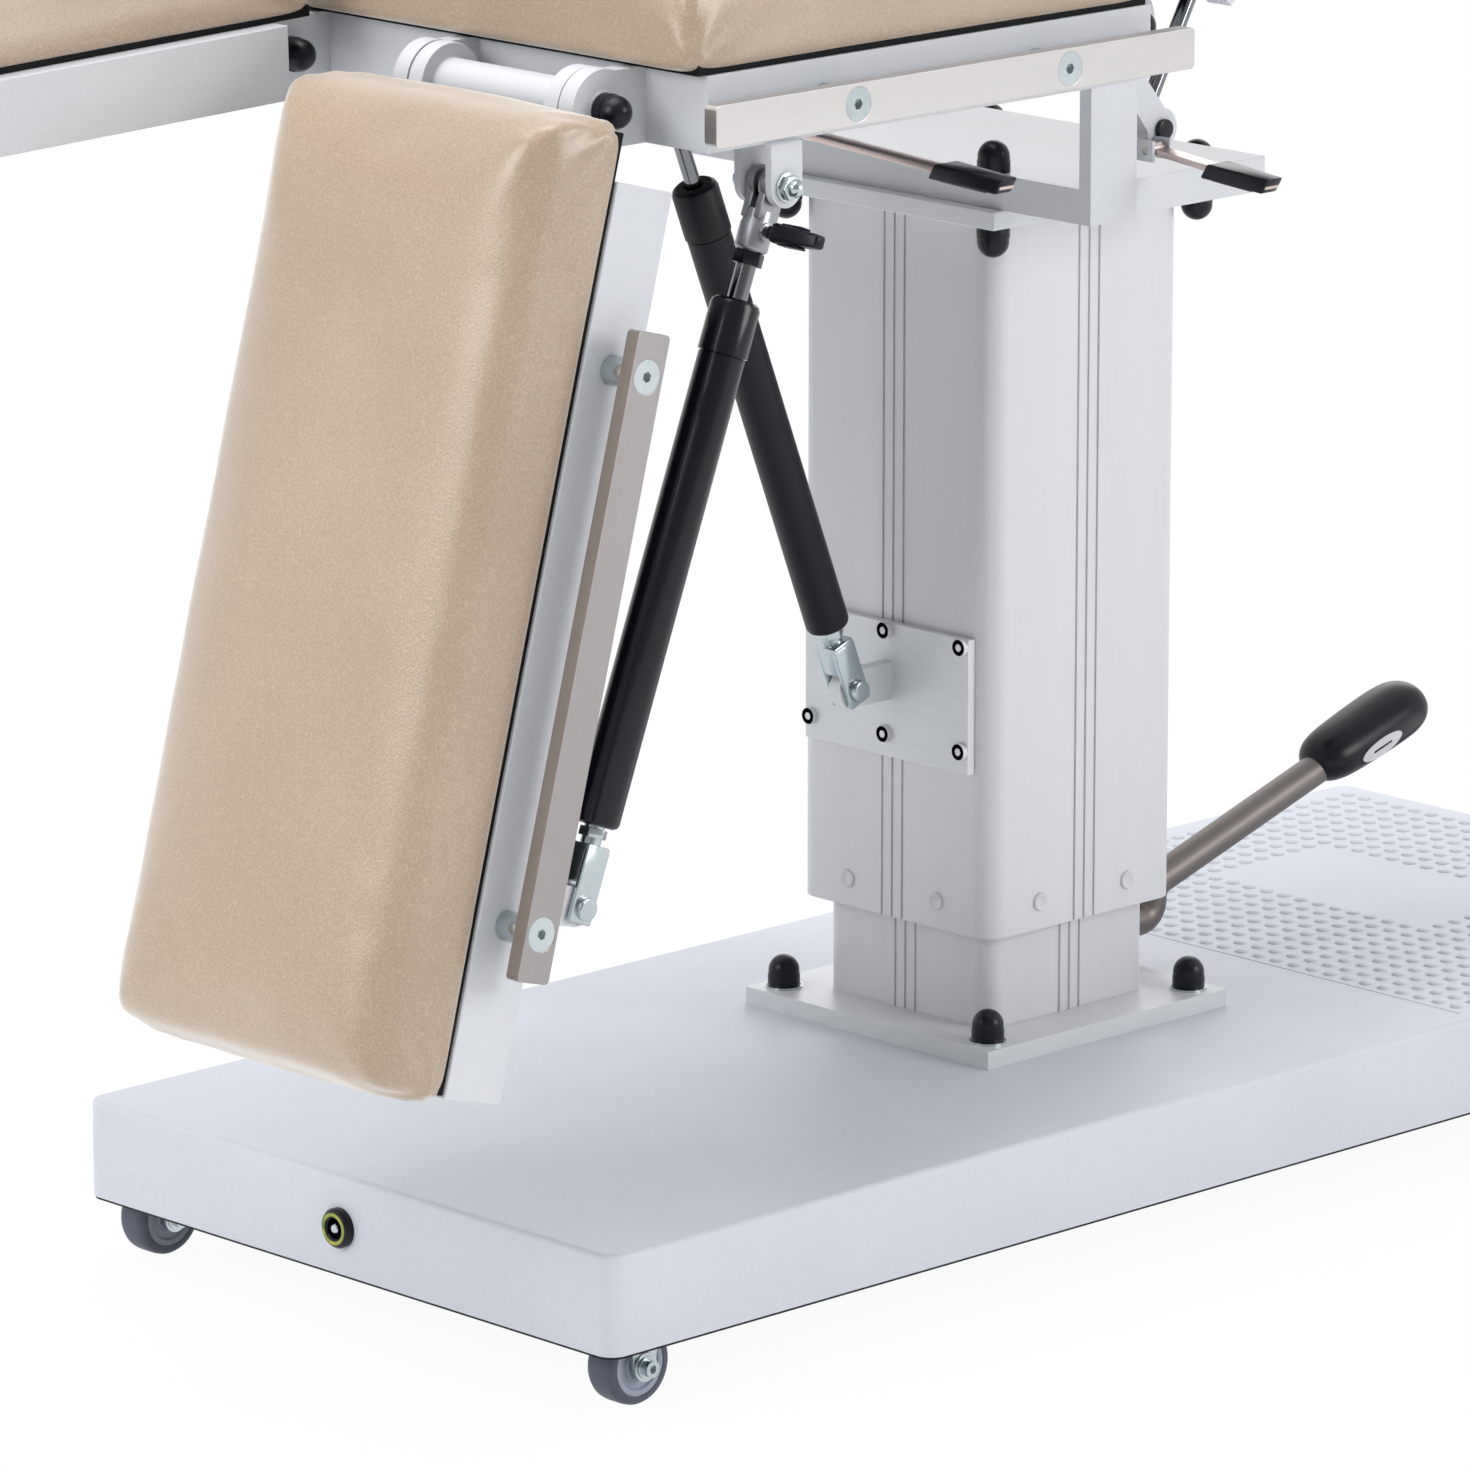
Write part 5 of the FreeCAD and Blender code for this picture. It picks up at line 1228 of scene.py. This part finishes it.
@dataclass
class GasSpring:
    """A gas spring drawn along +Z from its fork pin.

    The barrel holds where the barrel starts and ends along the spring, and the inside is the
    length of rod that stays in the barrel.
    """

    name: str
    side: str
    foot: Point2
    head: Point2
    y: float
    radius: float
    barrel: tuple[float, float]
    rod: float
    finish: Finish
    barrel_body: str
    rod_body: str
    collar: float = 26.0
    inside: float = 125.0
    bore: float = 250.0
    play: float = 0.3

    @property
    def length(self) -> float:
        """Distance between the two eyes."""
        return math.hypot(self.head[0] - self.foot[0], self.head[1] - self.foot[1])

    @property
    def place(self) -> Matrix:
        """Placement of both halves."""
        return between(self.foot, self.head, self.y)

    def fork(self) -> Mesh:
        """Zinc fork with its neck, jam nut and headed pin.

        Returns:
            The fork in its place.
        """
        start = self.barrel[0]
        cheeks = [
            block((-9, inner, -9.5), (9, inner + 4.0, start - 13), 1.2) for inner in (-9.5, 5.5)
        ]
        bridge = block((-8.8, -9.3, 14), (8.8, 9.3, start - 11), 1.2)
        neck = round_bar(6.2, start - 13, start, 24)
        nut = prism(6, 8.6, start - 7, start - 1.5)
        pin = lathe([(0, -10), (4.9, -10), (4.9, 12.5), (3.6, 13.5), (0, 13.5)], 24)
        moved(pin, facing(0, 0, 0, (0, 1, 0)))
        head = lathe([(0, 0), (7, 0), (7, 3.5), (6, 4.2), (0, 4.2)], 28, 0.3)
        moved(head, facing(0, -9.5, 0, (0, -1, 0)))
        return moved(joined(*cheeks, bridge, neck, nut, pin, head), self.place)

    def barrel_mesh(self) -> Mesh:
        """Barrel with its rolled foot and the collar above a fine groove.

        Returns:
            The barrel in its place.
        """
        start, end = self.barrel
        r, collar = self.radius, self.radius + 0.9
        step, bore, floor = end - self.collar, self.rod + self.play, end - self.bore
        outline = [
            (0, start), (r - 3.0, start), (r - 1.0, start + 1.2), (r, start + 3.4), (r, step - 1.2),
            (r - 0.8, step - 0.6), (r - 0.8, step), (collar, step), (collar, end - 4.5),
            (collar - 1.0, end - 2.0), (collar - 3.2, end - 0.4), (self.rod + 2.0, end - 0.4),
            (self.rod + 1.4, end - 1.6), (bore, end - 1.6), (bore, floor), (0, floor),
        ]
        return moved(lathe(outline, 48), self.place)

    def build(self, neck: float) -> None:
        """Make the barrel, its fork and the rod.

        Args:
            neck: Where the rod ends in its head, along the spring in millimetres.
        """
        rod = moved(round_bar(self.rod, self.barrel[1] - self.inside, neck, 36), self.place)
        for kind, bm, finish, body, slot, ends in (
            ("tube", self.barrel_mesh(), self.finish, self.barrel_body, "spring_black", ("barrel",)),
            ("fork", self.fork(), ZINC, self.barrel_body, "zinc", ()),
            ("piston", rod, CHROME, self.rod_body, "spring_rod", ("rod",)),
        ):
            nodes = tuple(f"{self.name}_{end}{self.side}" for end in ends)
            piece(f"{self.name}_{kind}{self.side}", bm, finish, body, nodes)


@dataclass
class Springs:
    """The four gas springs with their heads, paddles and clevis bolts."""

    shop: Workshop
    leg_top: Point2 = (-446.0, 733.0)
    head_length: float = 41.0
    leg_along: float = 454.5
    leg_below: float = 54.5
    plane: float = 256.0
    tilt_foot: Point2 = (-127.0, 335.0)
    tilt_head: Point2 = (-290.0, 748.0)
    back_foot: Point2 = (-22.0, 702.0)
    back_along: float = 300.0
    back_below: float = 30.0
    back_plane: float = -150.0
    boss_below: float = 28.0

    def leg(self, name: str) -> GasSpring:
        """The spring of one leg section.

        Args:
            name: The side, left or right.

        Returns:
            The spring.
        """
        foot = spot(leg_place(name), LEG_PIVOT_X - self.leg_along, 0.0, PIVOT_Z - self.leg_below)
        return GasSpring(
            "leg_spring", f"_{name}", foot, self.leg_top, SIDES[name] * self.plane, 14.0, (48.0, 364.0), 6.0,
            ENAMEL, f"leg_barrel_{name}", f"leg_rod_{name}", 33.0,
        )

    def leg_head(self, spring: GasSpring, side: int) -> Mesh:
        """Turned release head with a cross boss and two cheeks round the clevis pin.

        Args:
            spring: The spring that it closes.
            side: The table's side, as a sign.

        Returns:
            The head in its place.
        """
        top = spring.length
        start = top - self.head_length
        body = lathe(
            [(0, start), (8.0, start), (10.0, start + 2.0), (10.0, top - 25.0), (8.6, top - 21.0),
             (8.6, top - 16.0), (0, top - 16.0)], 36, 0.3,
        )
        boss = moved(round_bar(5.6, 0, 10.4, 28, 0.5),
                     facing(0, 0, top - self.boss_below, (0, side, 0)))
        parts = [body, boss]
        for way in (-1, 1):
            low, high = sorted((way * 2.2, way * 7.8))
            cheek = block((-8.0, low, top - 22.0), (8.0, high, top), 0.8)
            eye = round_bar(10.8, low, high, 32, 0.8)
            parts += [cheek, moved(eye, facing(0, 0, top, (0, 1, 0)))]
        parts.append(block((-7.0, -7.0, top - 24.0), (7.0, 7.0, top - 16.0), 1.0))
        return moved(joined(*parts), spring.place)

    def paddle(self, spring: GasSpring, side: int) -> Mesh:
        """Release paddle with a raised rib on both faces and a slanted tip.

        Args:
            spring: The spring whose head holds it.
            side: The table's side, as a sign.

        Returns:
            The paddle in its place.
        """
        z = spring.length - self.boss_below
        grip = block((-7.5, 18.0, -6.0), (7.5, 54.0, 6.0), 2.6, 3)
        for vert in grip.verts:
            share = max(0.0, (vert.co.y / MM - 40.0) / 13.0)
            vert.co.x *= 1.0 - 0.45 * share
            vert.co.z *= 1.0 - 0.35 * share
        ribs = [block((-4.0, 23.0, s * 5.8 - 0.8), (4.0, 40.0, s * 5.8 + 0.8), 0.7) for s in (-1, 1)]
        stalk = block((-2.9, 12.0, -3.8), (2.9, 21.0, 3.8), 0.6)
        bm = joined(grip, stalk, *ribs)
        if side < 0:
            moved(bm, Matrix.Rotation(math.pi, 4, "Z"))
        return moved(bm, at(0, 0, z), spring.place)

    def build_leg(self, name: str) -> None:
        """Both halves of a leg spring, its nut and its paddle.

        Args:
            name: The side, left or right.
        """
        side = SIDES[name]
        spring = self.leg(name)
        neck = spring.length - self.head_length
        spring.build(neck)
        nut = moved(prism(6, 9.4, neck - 7.8, neck - 0.2), spring.place)
        piece(f"leg_spring_nut_{name}", nut, MOULDED, spring.rod_body)
        piece(f"leg_spring_head_{name}", self.leg_head(spring, side), CAST, spring.rod_body)
        piece(f"leg_paddle_grip_{name}", self.paddle(spring, side), MOULDED, f"leg_paddle_{name}",
              (f"leg_spring_paddle_{name}",))

    def build_tilt(self) -> None:
        """The spring between the column and the seat."""
        spring = GasSpring(
            "tilt_spring", "", self.tilt_foot, self.tilt_head, 0.0, 14.0, (46.0, 366.0), 5.0, LACQUER,
            "tilt_barrel", "tilt_rod", 34.0, 60.0, 150.0,
        )
        top = spring.length
        spring.build(top - 20.0)
        neck = round_bar(8.0, top - 24.0, top - 8.0, 32, 0.6)
        eye = moved(round_bar(11.0, -8.0, 8.0, 36, 0.8), facing(0, 0, top, (0, 1, 0)))
        piece("tilt_spring_eye", moved(joined(neck, eye), spring.place), ZINC, "tilt_rod")

    def build_back(self) -> None:
        """The slim spring behind the back section."""
        foot = spot(back_place(), BACK_PIVOT_X + self.back_along, 0.0, PIVOT_Z - self.back_below)
        spring = GasSpring(
            "back_spring", "", foot, self.back_foot, self.back_plane, 11.0, (30.0, 205.0), 5.0, ENAMEL,
            "back_barrel", "back_rod", 18.0, 42.0, 160.0,
        )
        top = spring.length
        spring.build(top - 7.0)
        eye = round_bar(8.0, -4.9, 4.9, 32, 0.6)
        moved(eye, facing(0, 0, top, (0, 1, 0)), spring.place)
        piece("back_spring_eye", eye, ZINC, "back_rod")

    def bolts(self) -> None:
        """Washer, nut and domed end on each side of every clevis."""
        parts = []
        for x, z, y_mid in (
            (*self.leg_top, -self.plane), (*self.leg_top, self.plane), (*self.tilt_head, 0.0),
        ):
            for way in (-1, 1):
                y = y_mid + way * 15.5
                washer = round_bar(9.0, 0, 1.5, 32, 0.3)
                nut = prism(6, 8.0, 1.5, 6.0)
                cap = lathe([(0, 5.6), (5.4, 5.6), (5.4, 7.0)] + dome(5.4, 7.0), 28)
                shank = round_bar(4.9, -7.2, 0.4, 24)
                parts.append(moved(joined(washer, nut, cap, shank), facing(x, y, z, (0, way, 0))))
        stub = lathe([(0, -13.5), (4.9, -13.5), (4.9, 0), (6.4, 0), (6.4, 3.6), (0, 3.6)], 28, 0.4)
        moved(stub, facing(self.back_foot[0], -169.0, self.back_foot[1], (0, -1, 0)))
        piece("clevis_nuts", joined(*parts), ZINC, "seat", ("clevis_bolts",))
        piece("back_spring_bolt", stub, ENAMEL, "seat")

    def build(self) -> None:
        """Build all the springs."""
        for name in SIDES:
            self.build_leg(name)
        self.build_tilt()
        self.build_back()
        self.bolts()


@dataclass
class Lever:
    """Flat release lever along Y with a ridged grip; points are (y, z)."""

    name: str
    node: str
    body: str
    x: float
    root: Point2
    grip: Point2
    end: Point2

    def strip(self, start: Point2, stop: Point2, half: float, thick: float, width: float) -> Mesh:
        """A bar from one point to another.

        Args:
            start: Its start, as (y, z) in millimetres.
            stop: Its end.
            half: Half of its width along X.
            thick: Its thickness.
            width: Rounding of its edges.

        Returns:
            The bar in its place.
        """
        run = math.hypot(stop[0] - start[0], stop[1] - start[1])
        bm = block((-half, 0.0, -thick / 2), (half, run, thick / 2), width)
        lean = math.atan2(stop[1] - start[1], stop[0] - start[0])
        return moved(bm, Matrix.Rotation(lean, 4, "X"), at(self.x, *start))

    def handle(self) -> Mesh:
        """Grip with a raised spine and slanted ends.

        Returns:
            The grip in its place.
        """
        run = math.hypot(self.end[0] - self.grip[0], self.end[1] - self.grip[1])
        body = block((-10.0, 0.0, -5.0), (10.0, run, 5.0), 1.6, 3)
        spine = block((-6.5, 7.0, 4.0), (6.5, run - 9.0, 6.0), 0.9, 2)
        for vert in list(body.verts) + list(spine.verts):
            along = vert.co.y / MM
            vert.co.y -= 0.5 * vert.co.z
            vert.co.x *= 1.0 - 0.35 * max(0.0, (along - run * 0.7) / (run * 0.3))
        lean = math.atan2(self.end[1] - self.grip[1], self.end[0] - self.grip[0])
        return moved(joined(body, spine), Matrix.Rotation(lean, 4, "X"), at(self.x, *self.grip))

    def build(self) -> None:
        """Bar, root eye, pin and grip."""
        bar = self.strip(self.root, self.end, 6.0, 4.0, 0.6)
        eye = moved(round_bar(5, -6, 6, 24, 0.4), facing(self.x, *self.root, (1, 0, 0)))
        pin = moved(round_bar(2.4, -8.7, 8.7, 20, 0.3),
                    facing(self.x, *self.root, (1, 0, 0)))
        piece(f"{self.name}_bar", joined(bar, eye, pin), LEVER_STEEL, self.body, (self.node,))
        piece(f"{self.name}_grip", self.handle(), MOULDED, self.body)


@dataclass
class Column:
    """Telescopic column with its plates, caps, plugs and spring bracket."""

    shop: Workshop
    foot_top: float = 115.0
    top_bottom: float = 640.0
    top_top: float = 652.0
    beam_top: float = 674.0
    foot_pitch: float = 92.5
    top_pitch: float = 92.0
    bracket_face: float = -96.0
    cap: DomedCap = DomedCap()
    washer_radius: float = 12.0
    washer: float = 1.5
    screw_rows: Point2 = (300.0, 367.5)
    screw_files: Point3 = (-67.5, 0.0, 67.5)
    screw: SocketScrew = SocketScrew(5.4, 3.4, 2.6, 5.4, 24)
    plug_face: float = 86.5
    plug_z: float = 196.0
    plug_offset: float = 40.0

    def caps(self) -> None:
        """Caps and washers on both plates."""
        low, washers, high = [], [], []
        for sx in (-1, 1):
            for sy in (-1, 1):
                x, y = sx * self.foot_pitch, sy * self.foot_pitch
                disc = round_bar(self.washer_radius, 0, self.washer, 32, 0.4)
                washers.append(moved(disc, at(x, y, self.foot_top)))
                low.append(moved(self.cap.build(), at(x, y, self.foot_top + self.washer)))
                x, y = sx * self.top_pitch, sy * self.top_pitch
                high.append(moved(self.cap.build(), facing(x, y, self.top_bottom, (0, 0, -1))))
                seat = self.beam_top if sx < 0 else self.top_top
                high.append(moved(self.cap.build(), at(x, y, seat)))
        piece("foot_cap_covers", joined(*low), MOULDED, "base", ("foot_caps",))
        piece("foot_washers", joined(*washers), ZINC, "base")
        piece("top_cap_covers", joined(*high), MOULDED, "lift", ("top_caps",))

    def bracket(self) -> None:
        """Bracket plate and its screws."""
        heads = []
        for z in self.screw_rows:
            for y in self.screw_files:
                stand = facing(self.bracket_face, y, z, (-1, 0, 0))
                heads.append(moved(self.screw.build(), stand))
        piece("bracket_screws", joined(*heads), ZINC, "lift")
        self.shop.eased("spring_bracket", PLATE, "lift", "profile", 0.6)

    def plugs(self) -> None:
        """Pale plugs round the foot of the outer profile."""
        parts = []
        for turn in range(4):
            for side in (-1, 1):
                plug = lathe([(0, 0), (5.9, 0), (5.9, 0.9), (5.2, 1.5), (4.2, 1.5), (3.2, 0.9), (0, 0.9)], 32)
                stand = facing(self.plug_face, side * self.plug_offset, self.plug_z, (1, 0, 0))
                parts.append(moved(plug, stand, Matrix.Rotation(math.pi / 2 * turn, 4, "Z")))
        piece("profile_plugs", joined(*parts), PLUG, "lift")

    def build(self) -> None:
        """Build the whole column."""
        for node, finish, body, slot, width in (
            ("inner_column", PROFILE, "base", "profile", 0.3),
            ("outer_column", PROFILE, "lift", "profile", 0.3),
            ("foot_plate", PLATE, "base", "plate_steel", 1.0),
            ("top_plate", PLATE, "lift", "plate_steel", 1.0),
            ("yoke", POWDER, "lift", "frame_paint", 1.2),
            ("tilt_pivot_bolts", ZINC, "lift", "zinc", 0.8),
        ):
            self.shop.eased(node, finish, body, slot, width)
        for finish, node in (
            (ZINC, "foot_studs"), (NYLON, "column_guides"), (PRIMER, "lift_cylinder"), (CHROME, "lift_rod"),
        ):
            self.shop.painted(finish, node)
        self.caps()
        self.bracket()
        self.plugs()


@dataclass
class Base:
    """Cover with its tread field, castors and earthing socket."""

    shop: Workshop
    top: float = 103.0
    cover_x: tuple[float, float] = (-559.0, 605.0)
    cover_half: float = 240.0
    corner: float = 12.0
    field_x: tuple[float, float] = (217.0, 582.6)
    field_y: tuple[float, float] = (-214.0, 213.9)
    plain_x: tuple[float, float] = (344.0, 464.0)
    plain_y: tuple[float, float] = (-66.0, 132.0)
    pitch: float = 15.85
    dot_radius: float = 5.0
    dot_height: float = 1.7
    border: float = 12.0
    wheel_radius: float = 25.0
    wheel_half: float = 11.0
    fork_half: float = 15.0
    fixed_place: Point2 = (-521.0, 214.0)
    swivel_place: Point2 = (515.0, 185.0)
    socket_z: float = 70.0
    ridge_half: float = 226.0

    def dots(self) -> Mesh:
        """Rows of flat domes, with a plain panel left free.

        Returns:
            The domes as one mesh.
        """
        r, h = self.dot_radius, self.dot_height
        rise = [(r * 0.86, h * 0.5), (r * 0.6, h * 0.84), (r * 0.3, h), (0, h)]
        dot = lathe([(0, -0.4), (r, -0.4), (r, 0.1)] + rise, 14)
        mesh = bpy.data.meshes.new("dots")
        dot.to_mesh(mesh)
        dot.free()
        made = bpy.data.objects.new("dots", mesh)
        bpy.context.scene.collection.objects.link(made)
        for name, (start, end), way in (
            ("rows", self.field_x, (1, 0, 0)), ("files", self.field_y, (0, 1, 0)),
        ):
            array = made.modifiers.new(name, "ARRAY")
            array.use_relative_offset = False
            array.use_constant_offset = True
            array.constant_offset_displace = [self.pitch * MM * axis for axis in way]
            array.count = round((end - start) / self.pitch) + 1
        bake_modifiers(made)
        bm = bmesh.new()
        bm.from_mesh(made.data)
        bpy.data.objects.remove(made)
        moved(bm, at(self.field_x[0], self.field_y[0], self.top))
        free = [v for v in bm.verts if self.in_plain(v.co.x / MM, v.co.y / MM)]
        bmesh.ops.delete(bm, geom=free, context="VERTS")
        return bm

    def in_plain(self, x: float, y: float) -> bool:
        """Tell whether the dot nearest to a point lies in the plain panel.

        Args:
            x: The point, in millimetres.
            y: Its second coordinate.

        Returns:
            True for a dot of the panel.
        """
        x = self.field_x[0] + self.pitch * round((x - self.field_x[0]) / self.pitch)
        y = self.field_y[0] + self.pitch * round((y - self.field_y[0]) / self.pitch)
        return self.plain_x[0] < x < self.plain_x[1] and self.plain_y[0] < y < self.plain_y[1]

    def rim_shadow_strip(self) -> None:
        """Thin black strip under the rim of the cover: painted shadow along the cover's bottom edge."""
        rings = []
        for inset, z in ((0.8, 38.4), (0.8, 40.1), (3.0, 40.1), (3.0, 38.4)):
            low = (self.cover_x[0] + inset, inset - self.cover_half)
            high = (self.cover_x[1] - inset, self.cover_half - inset)
            rings.append((rounded(low, high, self.corner - inset), z))
        piece("cover_rim_shadow_strip", lofted(rings, closed=True), MOULDED, "base")

    def tread(self) -> None:
        """The dots and a low ridge along the column end of the field."""
        x0 = self.field_x[0] - self.border
        half = self.ridge_half
        ridge = block((x0, -half, self.top - 0.5), (x0 + 2.0, half, self.top + 0.4), 0.4)
        piece("tread_field", joined(self.dots(), ridge), SHELL, "base", sharp=60.0)

    def socket(self) -> None:
        """Earthing socket: black flange, two-colour ring, dark well and silver pin."""
        place = facing(self.cover_x[0], 0.0, self.socket_z, (-1, 0, 0))
        flange = lathe(
            [(6.6, -5.0), (8.0, -5.0), (8.0, 0), (12.5, 0), (12.5, 3.6), (11.2, 5.4), (10.2, 5.8), (7.4, 5.8),
             (6.6, 5.0), (6.6, -5.0)], 48,
        )
        ring = lathe([(7.9, 5.6), (10.1, 5.6), (10.1, 6.2), (7.9, 6.2), (7.9, 5.6)], 48)
        well = round_bar(6.8, -3.0, -4.5, 32)
        pin = lathe([(0, -3.0), (3.0, -3.0), (3.0, 4.8), (2.4, 5.5), (0, 5.5)], 28)
        piece("socket_flange", moved(joined(flange, well), place), MOULDED, "base",
              ("earthing_socket",))
        piece("socket_ring", moved(ring, place), EARTH_RING, "base")
        piece("socket_pin", moved(pin, place), ZINC, "base")

    def axle(self, x: float, y: float) -> Mesh:
        """Socket-head axle bolt with two washers on its head side and a nut behind.

        Args:
            x: Where the wheel stands, in millimetres.
            y: Its second coordinate.

        Returns:
            The bolt with its head facing -Y.
        """
        out = self.fork_half
        shank = round_bar(3.9, -out - 4.0, out + 4.0, 28)
        washers = [round_bar(9.0, out, out + 1.2, 36, 0.3),
                   round_bar(7.0, out + 1.2, out + 2.6, 36, 0.4)]
        head = moved(SocketScrew(5.2, 4.4, 2.8, 5.2, 30).build(), at(0, 0, out + 7.0))
        nut = prism(6, 7.4, -out - 5.5, -out)
        return moved(joined(shank, *washers, head, nut), facing(x, y, self.wheel_radius, (0, -1, 0)))

    def forks(self, node: str, body: str, places: list[Point2]) -> None:
        """The bent forks of one node, with dressed axle bolts in place of its plain ones.

        Args:
            node: The node with the forks and axles.
            body: The body that they ride on.
            places: Where the wheels stand, as (x, y).
        """
        bm = self.shop.copy(node)
        for island in islands(bm):
            if max(v.co.x for v in island) - min(v.co.x for v in island) < 20.0 * MM:
                bmesh.ops.delete(bm, geom=island, context="VERTS")
        bolts = [self.axle(x, y) for x, y in places]
        piece(f"{node}_dressed", joined(soften(bm, 0.5), *bolts), ZINC, body, (node,), flat=True)

    def wheel(self, name: str, x: float, y: float) -> None:
        """Tread and hub of one castor wheel.

        Args:
            name: The wheel's node and body.
            x: Where it stands, in millimetres.
            y: Its second coordinate.
        """
        r, w = self.wheel_radius, self.wheel_half
        tread = lathe(
            [(19.0, -w), (21.5, -w), (23.4, -w + 1.0), (24.6, -w + 3.0), (r, -w + 6.0), (r, w - 6.0),
             (24.6, w - 3.0), (23.4, w - 1.0), (21.5, w), (19.0, w), (19.0, -w)], 56,
        )
        side = [
            (4.1, w - 0.4), (9.5, w - 0.4), (10.5, w - 2.4), (14.5, w - 2.4), (15.5, w - 0.6),
            (19.1, w - 0.6),
        ]
        outline = side + [(a, -b) for a, b in reversed(side)] + [side[0]]
        stand = facing(x, y, r, (0, 1, 0))
        piece(f"{name}_tread", moved(tread, stand), TYRE, name, (name,))
        piece(f"{name}_hub", moved(lathe(outline, 48), stand), HUB, name)

    def build(self) -> None:
        """Build the base."""
        self.shop.eased("base_cover", SHELL, "base", "cover", 0.8)
        self.shop.painted(PRIMER, "base_frame")
        self.tread()
        self.rim_shadow_strip()
        self.socket()
        fixed = {name: (self.fixed_place[0], side * self.fixed_place[1]) for name, side in SIDES.items()}
        self.forks("fixed_castor_forks", "base", list(fixed.values()))
        for name, side in SIDES.items():
            swivel = (self.swivel_place[0], side * self.swivel_place[1])
            self.forks(f"swivel_fork_{name}", f"swivel_{name}", [swivel])
            self.wheel(f"fixed_wheel_{name}", *fixed[name])
            self.wheel(f"swivel_wheel_{name}", *swivel)


@dataclass
class Pedal:
    """Bent pedal tube with its moulded grip."""

    shop: Workshop
    start: Point2 = (307.0, 206.0)
    end: Point2 = (411.0, 238.0)
    half_width: float = 23.5
    half_height: float = 19.5
    blunt: float = 6.0
    lift: float = 2.5
    facet: Point3 = (0.243, -0.97, 0.0)
    facet_share: float = 0.46
    facet_depth: float = 21.0
    tube_slope: float = 17.7
    steps: int = 48

    @property
    def run(self) -> float:
        """Length of the grip."""
        return math.hypot(self.end[0] - self.start[0], self.end[1] - self.start[1])

    def section(self, share: float) -> float:
        """Size of the grip's cross section.

        Args:
            share: Place along the grip, from 0 to 1.

        Returns:
            The size as a share of the largest one.
        """
        end = max(1.0 - abs(2.0 * share - 1.0) ** self.blunt, 0.0)
        return end ** 0.5 * (0.93 + 0.07 * math.sin(math.pi * (share - 0.2)))

    def place(self) -> Matrix:
        """Placement of the grip, drawn along +Z; its +X then points down.

        Returns:
            The placement.
        """
        lean = math.atan2(self.end[0] - self.start[0], self.end[1] - self.start[1])
        return at(self.start[0], 0.0, self.start[1] + self.lift) @ Matrix.Rotation(lean, 4, "Y")

    def grip(self) -> Mesh:
        """Blunt grip with a flat facet low on the side that faces out.

        Returns:
            The grip in its place.
        """
        shares = [0.5 - 0.5 * math.cos(math.pi * i / self.steps) for i in range(self.steps + 1)]
        outline = [(self.section(share), share * self.run) for share in shares[1:-1]]
        bm = lathe([(0.0, 0.0)] + outline + [(0.0, self.run)], self.steps)
        bmesh.ops.scale(bm, vec=(self.half_height, self.half_width, 1.0), verts=bm.verts)
        cut = bmesh.ops.bisect_plane(
            bm, geom=bm.verts[:] + bm.edges[:] + bm.faces[:], plane_co=self.facet_middle() * MM,
            plane_no=self.facet, clear_outer=True,
        )
        rim = [g for g in cut["geom_cut"] if isinstance(g, bmesh.types.BMEdge)]
        if rim:
            bmesh.ops.contextual_create(bm, geom=rim)
        bmesh.ops.recalc_face_normals(bm, faces=bm.faces)
        return moved(bm, self.place())

    def facet_middle(self) -> Vector:
        """Middle of the flat facet, drawn along +Z.

        Returns:
            The point in millimetres.
        """
        out = Vector(self.facet)
        return Vector((0.0, 0.0, self.run * self.facet_share)) + out * self.facet_depth

    def inlay(self) -> list[Mesh]:
        """Pale lens-shaped inlay on the facet, and the dark slot across it.

        Returns:
            The inlay and the slot in their places.
        """
        lens = lathe([(0, -0.6), (1.0, -0.6), (1.0, 0.3), (0.96, 0.6), (0, 0.6)], 40)
        bmesh.ops.scale(lens, vec=(7.0, 20.0, 1.0), verts=lens.verts)
        slot = block((-0.8, -9.0, 0.3), (0.8, 9.0, 0.9), 0.2)
        out = Vector(self.facet)
        along = Vector((0.0, 0.0, 1.0))
        along = (along - out * along.dot(out)).normalized()
        across = along.cross(out)
        stand = Matrix((across, along, out)).transposed().to_4x4()
        stand.translation = self.facet_middle() * MM
        return [moved(part, stand, self.place()) for part in (lens, slot)]

    def build(self) -> None:
        """Tube and grip."""
        steel = TUBE_STEEL.turned(self.tube_slope, "_slope")
        self.shop.eased("pedal_tube", steel, "pedal", "rail_steel", 0.3)
        piece(
            "pedal_grip_moulding", self.grip(), MOULDED, "pedal", ("pedal_grip",), sharp=24.0
        )
        lens, slot = self.inlay()
        piece("pedal_grip_inlay", lens, PLUG, "pedal")
        piece("pedal_grip_slot", slot, MOULDED, "pedal")


def levers() -> list[Lever]:
    """The two release levers along Y.

    Returns:
        The levers.
    """
    return [
        Lever("tilt_lever", "tilt_release_lever", "tilt_lever", -290.0, (-30.0, 733.0), (-243.0, 720.0),
              (-297.0, 717.0)),
        Lever("back_lever", "back_release_lever", "back_lever", -36.0, (-176.0, 692.0), (-226.0, 686.0),
              (-275.0, 682.0)),
    ]


def main() -> None:
    """Build the studio and dress the table."""
    logging.basicConfig(level=logging.INFO, format="%(message)s")
    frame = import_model()
    Studio().build()
    shop = Workshop(frame)
    Upholstery(shop).build()
    TableFrame(shop).build()
    SideRails(shop).build()
    Springs(shop).build()
    for lever in levers():
        lever.build()
    Column(shop).build()
    Base(shop).build()
    Pedal(shop).build()


if __name__ == "__main__":
    main()
